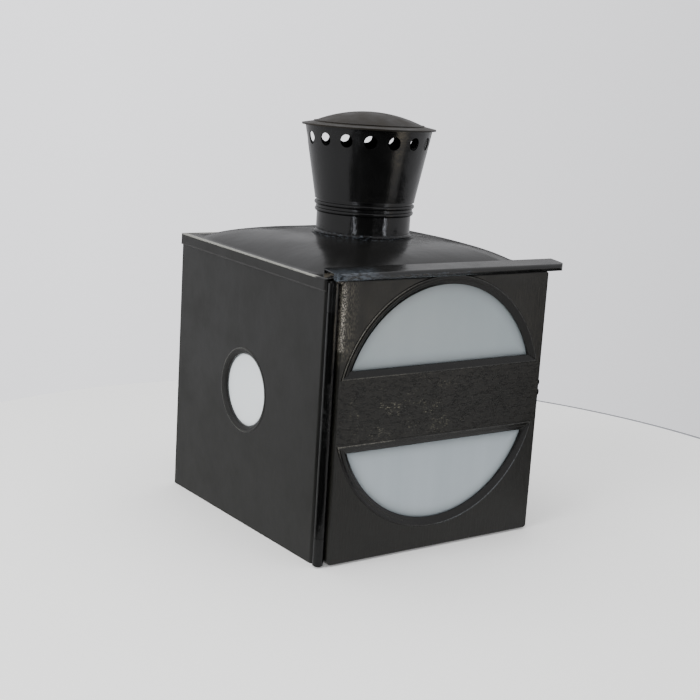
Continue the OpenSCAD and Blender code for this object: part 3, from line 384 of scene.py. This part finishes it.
def opalGlass(name, look):
    # Opal sheet glass, drawn flat and flashed white: milky, cool, with a polished face and faint draw lines
    material, tree, shader, place = startMaterial(name)
    drawn = cellNoise(tree, place, (26.0, 26.0, 600.0), 2.0)
    tone = addNode(tree, "ShaderNodeMix", {
        0: drawn, 6: hexLinear(look["dim"]), 7: hexLinear(look["bright"])}, data_type="RGBA").outputs[2]
    if "upperShade" in look:  # painted shade: the upper part made darker, as under the ledge
        height = addNode(tree, "ShaderNodeSeparateXYZ", {"Vector": place}).outputs["Z"]
        upperShadeAmount = addNode(tree, "ShaderNodeMapRange", {
            "Value": height, "From Min": look["upperShadeFrom"], "From Max": look["upperShadeTo"],
            "To Max": look["upperShadeMost"]}).outputs[0]
        tone = addNode(tree, "ShaderNodeMix", {
            0: upperShadeAmount, 6: tone, 7: hexLinear(look["upperShade"])}, data_type="RGBA").outputs[2]
    if "edge" in look:  # painted shade along the lips
        amount = lightEdge(tree, place, look["edge"])
        tone = addNode(tree, "ShaderNodeMix", {
            0: amount, 6: tone, 7: hexLinear(look["edge"]["grime"])}, data_type="RGBA").outputs[2]
    tree.links.new(tone, shader.inputs["Base Color"])
    shader.inputs["Roughness"].default_value = 0.22
    shader.inputs["IOR"].default_value = 1.5
    shader.inputs["Subsurface Weight"].default_value = 0.25
    shader.inputs["Subsurface Radius"].default_value = (0.004, 0.004, 0.004)
    return material


def metal(name, look):
    # Metal sheet with a worn, slightly tarnished surface
    material, tree, shader, place = startMaterial(name)
    tarnish = addNode(tree, "ShaderNodeTexNoise", {
        "Vector": place, "Scale": perMm(look["patch"]), "Detail": 5.0, "Roughness": 0.6}).outputs[0]
    grain = cellNoise(tree, place, look["grain"], 2.0)
    tone = addNode(tree, "ShaderNodeMix", {
        0: tarnish, 6: hexLinear(look["dull"]), 7: hexLinear(look["bright"])}, data_type="RGBA").outputs[2]
    tree.links.new(tone, shader.inputs["Base Color"])
    rough = addNode(tree, "ShaderNodeMapRange", {
        "Value": tarnish, "From Min": 0.3, "From Max": 0.7,
        "To Min": look["rough"][1], "To Max": look["rough"][0]}).outputs[0]
    tree.links.new(rough, shader.inputs["Roughness"])
    bump = addNode(tree, "ShaderNodeBump", {
        "Height": grain, "Strength": 1.0, "Distance": look["grainDepth"] * mm}).outputs[0]
    tree.links.new(bump, shader.inputs["Normal"])
    shader.inputs["Metallic"].default_value = 1.0
    return material


agedBrass = metal("agedSpunBrass", {
    "dull": "#7a5a2a", "bright": "#c79c55", "rough": (0.26, 0.5), "patch": 14.0,
    "grain": (8.0, 8.0, 0.5), "grainDepth": 0.02})
tinplate = metal("dullTinplate", {
    "dull": "#77756f", "bright": "#b3b1aa", "rough": (0.3, 0.52), "patch": 18.0,
    "grain": (0.6, 12.0, 0.6), "grainDepth": 0.015})


def chimneyGlass():
    # Blown lamp glass: clear with a faint green edge
    material, tree, shader, place = startMaterial("blownLampGlass")
    waves = addNode(tree, "ShaderNodeTexNoise", {
        "Vector": place, "Scale": perMm(20.0), "Detail": 1.0}).outputs[0]
    bump = addNode(tree, "ShaderNodeBump", {
        "Height": waves, "Strength": 1.0, "Distance": 0.1 * mm}).outputs[0]
    tree.links.new(bump, shader.inputs["Normal"])
    shader.inputs["Base Color"].default_value = hexLinear("#eef5f1")
    shader.inputs["Roughness"].default_value = 0.04
    shader.inputs["IOR"].default_value = 1.5
    shader.inputs["Transmission Weight"].default_value = 1.0
    return material


def cottonWeb():
    # Flat woven cotton wick: cream, matt, with ribs along its length and a charred top
    material, tree, shader, place = startMaterial("wovenCottonWick")
    ribs = addNode(tree, "ShaderNodeTexWave", {
        "Vector": place, "Scale": perMm(2.4) / 10, "Distortion": 0.6, "Detail": 1.0},
        bands_direction="Y").outputs["Fac"]
    height = addNode(tree, "ShaderNodeSeparateXYZ", {"Vector": place}).outputs["Z"]
    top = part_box("wick")[1].z
    char = addNode(tree, "ShaderNodeMapRange", {
        "Value": height, "From Min": top - 5 * mm, "From Max": top - 1 * mm}).outputs[0]
    tone = addNode(tree, "ShaderNodeMix", {
        0: char, 6: hexLinear("#cbbf9f"), 7: hexLinear("#1d1814")}, data_type="RGBA").outputs[2]
    tree.links.new(tone, shader.inputs["Base Color"])
    bump = addNode(tree, "ShaderNodeBump", {"Height": ribs, "Strength": 1.0, "Distance": 0.3 * mm}).outputs[0]
    tree.links.new(bump, shader.inputs["Normal"])
    shader.inputs["Roughness"].default_value = 0.9
    shader.inputs["Sheen Weight"].default_value = 0.2
    return material


opal = opalGlass("opalSheetGlass", {"dim": "#d6dcdf", "bright": "#dfe4e5"})
# painted shade: the door's opal glass is the side panes' glass coloured darker, for the lesser light on the
# door
doorOpal = opalGlass("opalGlassPaintedShade", {
    "dim": "#a3adb3", "bright": "#b4bdc2",
    "upperShade": "#98a2a5", "upperShadeFrom": lightMiddle, "upperShadeTo": lightMiddle + 40 * mm, "upperShadeMost": 0.7,
    "edge": {"middle": (doorMiddle, 0, lightMiddle), "radius": 113.5 * mm, "bar": 37.5 * mm, "wide": 13 * mm,
             "grime": "#7c8487"}})
lampGlass = chimneyGlass()
cotton = cottonWeb()
finishes = {
    "left_wall": wallEnamel, "right_wall": wallEnamel, "back_wall": wallEnamel, "floor_pan": wallEnamel,
    "eaves_band": wallEnamel, "front_frame": doorEnamel, "roof": roofEnamel, "rain_ledge": ledgeEnamel,
    "chimney_neck": neckEnamel, "chimney_cowl": chimneyEnamel, "chimney_cap": capEnamel,
    "left_pane": opal, "right_pane": opal, "door_pane": doorOpal,
    "side_pane_clips": tinplate, "door_pane_clips": tinplate, "lamp_rails": tinplate, "lamp_base": tinplate,
    "door": doorEnamel, "hinge_leaves": chimneyEnamel, "hinge_rivets": chimneyEnamel,
    "hinge_pin": chimneyEnamel, "turn_catch": chimneyEnamel, "catch_rivet": chimneyEnamel,
    "wick": cotton, "lamp_glass": lampGlass,
}
for name, node in nodes.items():
    node.data.materials.clear()
    node.data.materials.append(finishes.get(name, agedBrass))
print("materials set")


# New pieces
def gridPiece(name, points, material, body, closeAround=True, closeAcross=True):
    # points is an array (rows, columns, 3); quads join neighbours, and wrap where the piece closes
    rows, columns = points.shape[:2]
    index = np.arange(rows * columns).reshape(rows, columns)
    down = np.roll(index, -1, 0) if closeAcross else index[1:]
    here = index if closeAcross else index[:-1]
    if closeAround:
        quads = np.stack([here, np.roll(here, -1, 1), np.roll(down, -1, 1), down], -1)
    else:
        quads = np.stack([here[:, :-1], here[:, 1:], down[:, 1:], down[:, :-1]], -1)
    mesh = bpy.data.meshes.new(name)
    mesh.from_pydata(points.reshape(-1, 3).tolist(), [], quads.reshape(-1, 4).tolist())
    mesh.polygons.foreach_set("use_smooth", np.ones(len(mesh.polygons), bool))
    mesh.materials.append(material)
    mesh.update()
    piece = bpy.data.objects.new(name, mesh)
    bpy.context.scene.collection.objects.link(piece)
    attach(piece, body)
    return piece


roofShape = {
    "margin": 7 * mm,  # flat rim round the eaves
    "frontEdge": 270 * mm,  # height of the front edge, which the side eaves drop from
    "dropBack": 1 * mm,
    "dropFront": 6.5 * mm,
    "frontRise": 266 / 6 * mm,  # width over which the front edge rises from its corners
    "panPower": 8.0,  # squareness of the pan's outline
    "swell": 2.6,  # how soon the pan rises
    "dip": 0.7 * mm,  # the rim falls a little towards the pan
    "crownRadius": 52 * mm,
    "holeRadius": 44 * mm,
    "sheet": 1.2 * mm,
    "dent": 0.3 * mm,
    "around": 288,
    "rise": 40,
}


def eavesHeight(eaves, half, shape):
    # the side eaves fall straight from the back to the front; the front edge rises from its corners
    back = shape["frontEdge"] - shape["dropBack"]
    front = shape["frontEdge"] - shape["dropFront"]
    side = front + (back - front) * (eaves[..., 1] + half[1]) / (2 * half[1])
    reach = np.clip(1 - (half[0] - np.abs(eaves[..., 0])) / shape["frontRise"], 0, 1)
    return np.where(eaves[..., 1] > -half[1] + 1e-6, side, shape["frontEdge"] - shape["dropFront"] * reach)


def roofPoint(u, v, shape, high):
    # u goes round the square eaves; v runs over the flat rim, then up the pan to the round crown. The
    # pan's outline is a superellipse, and its height is 1 - (1 - t) to the power swell, with slow dents
    half = np.array([high.x, high.y])
    side = np.floor(u * 4).astype(int) % 4
    f = u * 4 - np.floor(u * 4)
    corners = np.array([[-1, -1], [1, -1], [1, 1], [-1, 1]]) * half
    eaves = corners[side] * (1 - f)[..., None] + corners[(side + 1) % 4] * f[..., None]
    inset = np.abs(eaves) / (half - shape["margin"])
    pan = eaves / (inset ** shape["panPower"]).sum(-1, keepdims=True) ** (1 / shape["panPower"])
    crown = eaves / np.linalg.norm(eaves, axis=-1, keepdims=True) * shape["crownRadius"]
    t = np.clip(v, 0, 1)[..., None]
    rim = np.clip(v + 1, 0, 1)[..., None]
    plan = (eaves * (1 - rim) + pan * rim) * (1 - t) + crown * t
    base = eavesHeight(eaves, half, shape)
    t = t[..., 0]
    z = base + (high.z - base) * (1 - (1 - t) ** shape["swell"]) - shape["dip"] * rim[..., 0] * (1 - t) ** 8
    x, y = plan[..., 0] / mm, plan[..., 1] / mm
    wave = np.sin(x / 17 + 0.7) * np.sin(y / 23 + 1.9) + 0.6 * np.sin(x / 9.5 + y / 13)
    z = z + shape["dent"] * wave * t * (1 - t) * 2
    return np.concatenate([plan, z[..., None]], -1)


def makeRoof(shape):
    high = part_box("roof")[1]
    u = np.linspace(0, 1, shape["around"], endpoint=False)
    v = np.concatenate([[-1, -0.5], np.linspace(0, 1, shape["rise"])])
    top = roofPoint(*np.meshgrid(u, v), shape, high)
    inner = top[-1].copy()
    inner[:, :2] *= shape["holeRadius"] / shape["crownRadius"]
    top = np.concatenate([top, inner[None]], 0)
    under = top[::-1] - [0, 0, shape["sheet"]]
    piece = gridPiece("roofSheet", np.concatenate([top, under], 0), roofEnamel, "case")
    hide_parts("roof")


makeRoof(roofShape)


beadShape = {
    "radius": 0.8 * mm,
    "eaves": 133 * mm,  # half the width of the roof
    "side": 132.6 * mm,  # distance of the bead from the middle of the lantern
    "bend": 4.4 * mm,  # the bead goes half round the front bend
    "below": 10.5 * mm,  # depth below the eaves
    "around": 10,
    "bendSteps": 6,
    "sideSteps": 60,
}


def makeBead(shape):
    # solder bead under the eaves band: a small circle swept from the left front bend round the back to the
    # right one, with a slow wobble in its thickness
    side, bend = shape["side"], shape["bend"]
    turn = np.linspace(np.pi / 4, 0, shape["bendSteps"])
    front = -shape["eaves"] + bend
    left = [(-side + bend - bend * math.cos(a), front - bend * math.sin(a)) for a in turn]
    left += [(-side, y) for y in np.linspace(front, side, shape["sideSteps"])[1:]]
    back = [(x, side) for x in np.linspace(-side, side, shape["sideSteps"])[1:-1]]
    path = np.array(left + back + [(-x, y) for x, y in left[::-1]])
    half = np.array([shape["eaves"], shape["eaves"]])
    eaves = np.stack([path[:, 0], np.maximum(path[:, 1], -half[1] + 1e-5)], -1)
    z = eavesHeight(eaves, half, roofShape) - shape["below"]
    ahead = np.gradient(path, axis=0)
    ahead /= np.linalg.norm(ahead, axis=1, keepdims=True)
    out = np.stack([-ahead[:, 1], ahead[:, 0]], -1)
    step = np.arange(len(path))
    thick = shape["radius"] * (1 + 0.18 * np.sin(step * 0.9) + 0.12 * np.sin(step * 2.3 + 1))
    angle = np.linspace(0, 2 * np.pi, shape["around"], endpoint=False)
    plan = path[:, None, :] + out[:, None, :] * (thick[:, None] * np.cos(angle))[..., None]
    points = np.concatenate([plan, (z[:, None] + thick[:, None] * np.sin(angle))[..., None]], -1)
    gridPiece("eavesBead", points, thinPaintAndHighlight, "case", closeAcross=False)


makeBead(beadShape)


lipShape = {
    "outer": (121.2 * mm, 30.45 * mm),  # radius of the arc, and distance of the straight side from the middle
    "inner": (112.7 * mm, 38.0 * mm),
    "shift": (-1.7 * mm, 0.8 * mm),  # the outer edge was worked a little out of true
    "foot": 0.07,  # share of the width under the door's face
    "crestWide": 0.16,
    "crestHigh": 0.8 * mm,
    "fall": 3.5 * mm,
    "gentle": 0.8,  # share of the fall that is straight; the rest grows with the square
    "wall": 1.3 * mm,  # upright edge beside the pane
    "crestSteps": 8,
    "fallSteps": 14,
    "arcSteps": 180,
    "barSteps": 90,
}


def halfMoon(inward, turn, shape):
    # closed outline at that share of the way from the outer to the inner edge: an arc and a straight side
    radius, height = (o + (i - o) * inward for o, i in zip(shape["outer"], shape["inner"]))
    start = math.asin(height / radius)
    angle = np.linspace(start, np.pi - start, shape["arcSteps"])
    across = np.linspace(-radius * math.cos(start), radius * math.cos(start), shape["barSteps"])[1:-1]
    arc = np.stack([radius * np.cos(angle), radius * np.sin(angle)], -1)
    outline = np.concatenate([arc, np.stack([across, np.full(len(across), height)], -1)], 0)
    return outline * turn + np.array(shape["shift"]) * (1 - inward)


def lipProfile(shape):
    # share of the way inward and height over the sheet: a quarter of an ellipse up to a low crest, then a
    # flank that falls more and more steeply, and an upright edge beside the pane
    rise = np.linspace(0, np.pi / 2, shape["crestSteps"])
    t = np.linspace(0, 1, shape["fallSteps"])[1:]
    crest = shape["crestWide"] - shape["foot"]
    wide = [*(shape["crestWide"] * (1 - np.cos(rise)) - shape["foot"]), *(crest + (1 - crest) * t), 1.0, 0.9]
    high = [*(shape["crestHigh"] * (2 * np.sin(rise) - 1)),
            *(shape["crestHigh"] - shape["fall"] * (shape["gentle"] * t + (1 - shape["gentle"]) * t * t))]
    high += [high[-1] - shape["wall"]] * 2
    return wide + [wide[0]], high + [high[0] - 0.3 * mm]


def makeLip(name, shape, turn):
    # rubbed lip of a half-moon light: every point of the profile runs round its own half-moon
    rows = []
    for inward, proud in zip(*lipProfile(shape)):
        plan = halfMoon(inward, turn, shape)
        rows.append(np.stack([doorMiddle + plan[:, 0], np.full(len(plan), doorLow.y - proud),
                              lightMiddle + plan[:, 1]], -1))
    gridPiece(name, np.array(rows), lipEnamel, "door")


makeLip("upperLip", lipShape, 1)
makeLip("lowerLip", lipShape, -1)


ringShape = {
    "outer": 41.6 * mm,
    "inner": 35.4 * mm,
    "foot": 0.07,
    "crestWide": 0.22,
    "crestHigh": 0.4 * mm,
    "fall": 3.0 * mm,
    "gentle": 0.5,
    "wall": 1.9 * mm,
    "crestSteps": 8,
    "fallSteps": 12,
    "around": 96,
}


def makeRing(name, shape, face, side):
    # rubbed rim of a round side light: the same profile turned round the light's axis
    angle = np.linspace(0, 2 * np.pi, shape["around"], endpoint=False) * -side
    rows = []
    for inward, proud in zip(*lipProfile(shape)):
        radius = shape["outer"] + (shape["inner"] - shape["outer"]) * inward
        rows.append(np.stack([np.full(len(angle), face + side * proud), radius * np.cos(angle),
                              sideMiddle + radius * np.sin(angle)], -1))
    gridPiece(name, np.array(rows), ringEnamel, "case")


makeRing("leftRing", ringShape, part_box("left_wall")[0].x, -1)
makeRing("rightRing", ringShape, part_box("right_wall")[1].x, 1)
print("new pieces made")


# Studio: a pale floor, soft light, and cards that only the gloss sees
def softLight(name, place, target, size, watts, inGloss):
    data = bpy.data.lights.new(name, "AREA")
    data.shape = "RECTANGLE"
    data.size, data.size_y = size
    data.energy = watts
    light = bpy.data.objects.new(name, data)
    light.matrix_world = Matrix.Translation(place) @ (
        Vector(place) - Vector(target)).to_track_quat("Z", "Y").to_matrix().to_4x4()
    light.visible_glossy = inGloss
    bpy.context.scene.collection.objects.link(light)


def stagePlane(name, corners, material):
    mesh = bpy.data.meshes.new(name)
    mesh.from_pydata([tuple(c) for c in corners], [], [tuple(range(len(corners)))])
    mesh.materials.append(material)
    plane = bpy.data.objects.new(name, mesh)
    bpy.context.scene.collection.objects.link(plane)
    return plane


def paleFloor():
    # Matt white laminate
    material, tree, shader, place = startMaterial("paleLaminate")
    cloud = addNode(tree, "ShaderNodeTexNoise", {"Vector": place, "Scale": perMm(400.0)}).outputs[0]
    tone = addNode(tree, "ShaderNodeMix", {
        0: cloud, 6: hexLinear("#f3f3f1"), 7: hexLinear("#f6f6f5")}, data_type="RGBA").outputs[2]
    tree.links.new(tone, shader.inputs["Base Color"])
    shader.inputs["Roughness"].default_value = 0.6
    shader.inputs["Emission Color"].default_value = hexLinear("#ffffff")
    shader.inputs["Emission Strength"].default_value = 0.14
    return material


def glow(name, strength, code):
    material = bpy.data.materials.new(name)
    material.use_nodes = True
    tree = material.node_tree
    tree.nodes.clear()
    light = addNode(tree, "ShaderNodeEmission", {"Color": hexLinear(code), "Strength": strength})
    addNode(tree, "ShaderNodeOutputMaterial", {"Surface": light.outputs[0]})
    return material


def hideExceptGloss(piece):
    piece.visible_camera = False
    piece.visible_diffuse = False
    piece.visible_shadow = False
    piece.visible_transmission = False


def glossCard(name, azimuth, distance, low, high, width, material):
    # upright card facing the lantern, seen only in reflections
    middle = bearing(azimuth, 0) * distance
    along = Vector((0, 0, 1)).cross(bearing(azimuth, 0)).normalized() * width / 2
    corners = [middle - along + Vector((0, 0, low)), middle + along + Vector((0, 0, low)),
               middle + along + Vector((0, 0, high)), middle - along + Vector((0, 0, high))]
    card = stagePlane(name, corners, material)
    hideExceptGloss(card)
    return card


turntable = {"middle": (10 * mm, -18 * mm), "radius": 567 * mm, "depth": 25 * mm,
             "drop": 0.2 * mm, "steps": 180}


def makeTurntable(name, look, material):
    # round photo table: a disc with a straight side
    angle = np.linspace(0, 2 * np.pi, look["steps"], endpoint=False)
    rim = np.stack([look["middle"][0] + look["radius"] * np.cos(angle),
                    look["middle"][1] + look["radius"] * np.sin(angle)], -1)
    top = [(x, y, -look["drop"]) for x, y in rim]
    low = [(x, y, -look["drop"] - look["depth"]) for x, y in rim]
    count = look["steps"]
    side = [(count + i, count + (i + 1) % count, (i + 1) % count, i) for i in range(count)]
    mesh = bpy.data.meshes.new(name)
    mesh.from_pydata(top + low, [], [tuple(range(count))] + side)
    mesh.materials.append(material)
    table = bpy.data.objects.new(name, mesh)
    bpy.context.scene.collection.objects.link(table)
    return table


def paperSweep(look):
    # lit white paper behind the table: a little brighter to the left and up
    material = bpy.data.materials.new("litPaper")
    material.use_nodes = True
    tree = material.node_tree
    tree.nodes.clear()
    place = addNode(tree, "ShaderNodeTexCoord").outputs["Object"]
    axes = addNode(tree, "ShaderNodeSeparateXYZ", {"Vector": place}).outputs
    across = addNode(tree, "ShaderNodeMath", {0: axes["X"], 1: axes["Y"]}, operation="SUBTRACT").outputs[0]
    fade = addNode(tree, "ShaderNodeMapRange", {
        "Value": across, "From Min": look["acrossFrom"], "From Max": look["acrossTo"],
        "To Min": look["left"], "To Max": look["right"]}).outputs[0]
    lift = addNode(tree, "ShaderNodeMapRange", {
        "Value": axes["Z"], "From Min": look["low"], "From Max": look["high"],
        "To Min": look["dim"], "To Max": 1.0}).outputs[0]
    power = addNode(tree, "ShaderNodeMath", {0: fade, 1: lift}, operation="MULTIPLY").outputs[0]
    light = addNode(tree, "ShaderNodeEmission", {"Color": hexLinear("#fbfbff"), "Strength": power})
    addNode(tree, "ShaderNodeOutputMaterial", {"Surface": light.outputs[0]})
    return material


table = makeTurntable("photoTable", turntable, paleFloor())
table.visible_glossy = False
# painted shade: a dimmer glowing strip along the table's right rim draws its edge as a thin grey line
lineLook = {"from": -20, "to": 45, "inner": 566 * mm, "outer": 575 * mm, "drop": 0.6 * mm, "steps": 60}
lineTurns = np.radians(np.linspace(lineLook["from"], lineLook["to"], lineLook["steps"]))
lineRim = [(lineLook["outer"], a) for a in lineTurns]
lineRim += [(lineLook["inner"], a) for a in lineTurns[::-1]]
lineX, lineY = turntable["middle"]
lineCorners = [(lineX + r * math.cos(a), lineY + r * math.sin(a), -lineLook["drop"]) for r, a in lineRim]
tableLine = stagePlane("tableLine", lineCorners, glow("tableEdgePaintedShade", 0.46, "#e6e8f2"))
tableLine.visible_glossy = False
glossTable = makeTurntable("glossTable", turntable, glow("tableInGloss", 0.60, "#f4f4f4"))
hideExceptGloss(glossTable)

sweepLook = {"acrossFrom": -1.2, "acrossTo": 1.6, "left": 2.0, "right": 1.15,
             "low": -0.6, "high": 1.0, "dim": 0.8, "distance": 1.6, "halfWide": 3.0, "halfTall": 2.0}
sweepAway = bearing(photoView["azimuth"] + 180, 0) * sweepLook["distance"]
sweepAlong = Vector((0, 0, 1)).cross(sweepAway).normalized() * sweepLook["halfWide"]
sweepUp = Vector((0, 0, sweepLook["halfTall"]))
sweepCorners = [sweepAway - sweepAlong - sweepUp, sweepAway + sweepAlong - sweepUp,
                sweepAway + sweepAlong + sweepUp, sweepAway - sweepAlong + sweepUp]
sweep = stagePlane("paperSweep", sweepCorners, paperSweep(sweepLook))
sweep.visible_glossy = False
sweep.visible_diffuse = False
sweep.visible_shadow = False

world = bpy.data.worlds.new("softRoom")
world.use_nodes = True
bpy.context.scene.world = world
world.node_tree.nodes["Background"].inputs["Color"].default_value = hexLinear("#f3f3f6")
world.node_tree.nodes["Background"].inputs["Strength"].default_value = 0.72

softLight("leftBox", (-1.9, -0.3, 1.2), (0, 0, 0.15), (1.4, 1.4), 46.0, False)
softLight("topBox", (0.1, 0.2, 2.2), (0, 0, 0.15), (2.4, 2.4), 56.0, False)

darkCard = glow("blackFlag", 0.08, "#808488")
cameraAzimuth = photoView["azimuth"]
glossCard("frontFlag", cameraAzimuth + 6, 1.5, 0.15, 1.9, 0.9, darkCard)
matLook = {"darkMat": (0.30, -66, -6), "farMat": (0.64, -6, 18), "far": 4.0, "lift": 1 * mm, "steps": 24}
for name in ("darkMat", "farMat"):
    near, start, end = matLook[name]
    turns = np.linspace(start, end, matLook["steps"])
    rim = [bearing(a, 0) * near for a in turns] + [bearing(a, 0) * matLook["far"] for a in turns[::-1]]
    mat = stagePlane(name, [point + Vector((0, 0, matLook["lift"])) for point in rim], darkCard)
    hideExceptGloss(mat)
patchLook = {"cowlStreak": ((-58, 0.69), (-53, 0.69), (-53, 0.82), (-58, 0.82)), "lift": 1.5 * mm}
streak = stagePlane("cowlStreak", [bearing(a, 0) * r + Vector((0, 0, patchLook["lift"]))
                                   for a, r in patchLook["cowlStreak"]], glow("paleStreak", 3.0, "#f6f7ff"))
hideExceptGloss(streak)
warmCorners = [(0.45, -1.5), (0.95, -1.5), (0.85, -1.0), (0.35, -1.0)]
warmPatch = stagePlane("warmLamp", [(x, y, patchLook["lift"]) for x, y in warmCorners],
                       glow("warmLampGlow", 3.0, "#fff0d4"))
hideExceptGloss(warmPatch)
sideMatCorners = [(0.20, -0.20), (0.20, 0.30), (0.6, 0.5), (0.88, 0.2), (0.9, -0.2),
                  (0.82, -0.62), (0.72, -0.88)]
sideMat = stagePlane("sideMat", [(x, y, matLook["lift"]) for x, y in sideMatCorners], darkCard)
hideExceptGloss(sideMat)
sideCardCorners = [(0.19, -0.20, 0.0), (0.19, 0.1, 0.0), (0.19, 0.1, 0.25), (0.19, -0.20, 0.25)]
hideExceptGloss(stagePlane("sideCard", sideCardCorners, darkCard))
hingeCardCorners = [(-0.22, -0.34, 0.0), (-0.22, -0.09, 0.0), (-0.22, -0.09, 0.262), (-0.22, -0.34, 0.262)]
hideExceptGloss(stagePlane("hingeCard", hingeCardCorners, darkCard))
glossCard("backCard", 142, 2.5, 0.12, 0.62, 1.5, glow("greyBoard", 0.2, "#8c8c8c"))
neckSpots = {"left": (-60, -53.5), "right": (15.5, 21.0), "near": 2.45, "far": 2.8, "lift": 2 * mm}
for side in ("left", "right"):
    turns = neckSpots[side]
    rim = [(turns[0], neckSpots["near"]), (turns[1], neckSpots["near"]), (turns[1], neckSpots["far"]),
           (turns[0], neckSpots["far"])]
    spot = stagePlane(side + "Spot", [bearing(a, 0) * r + Vector((0, 0, neckSpots["lift"])) for a, r in rim],
                      glow(side + "SpotGlow", 24.0, "#f2f5ff"))
    hideExceptGloss(spot)
print("studio set")
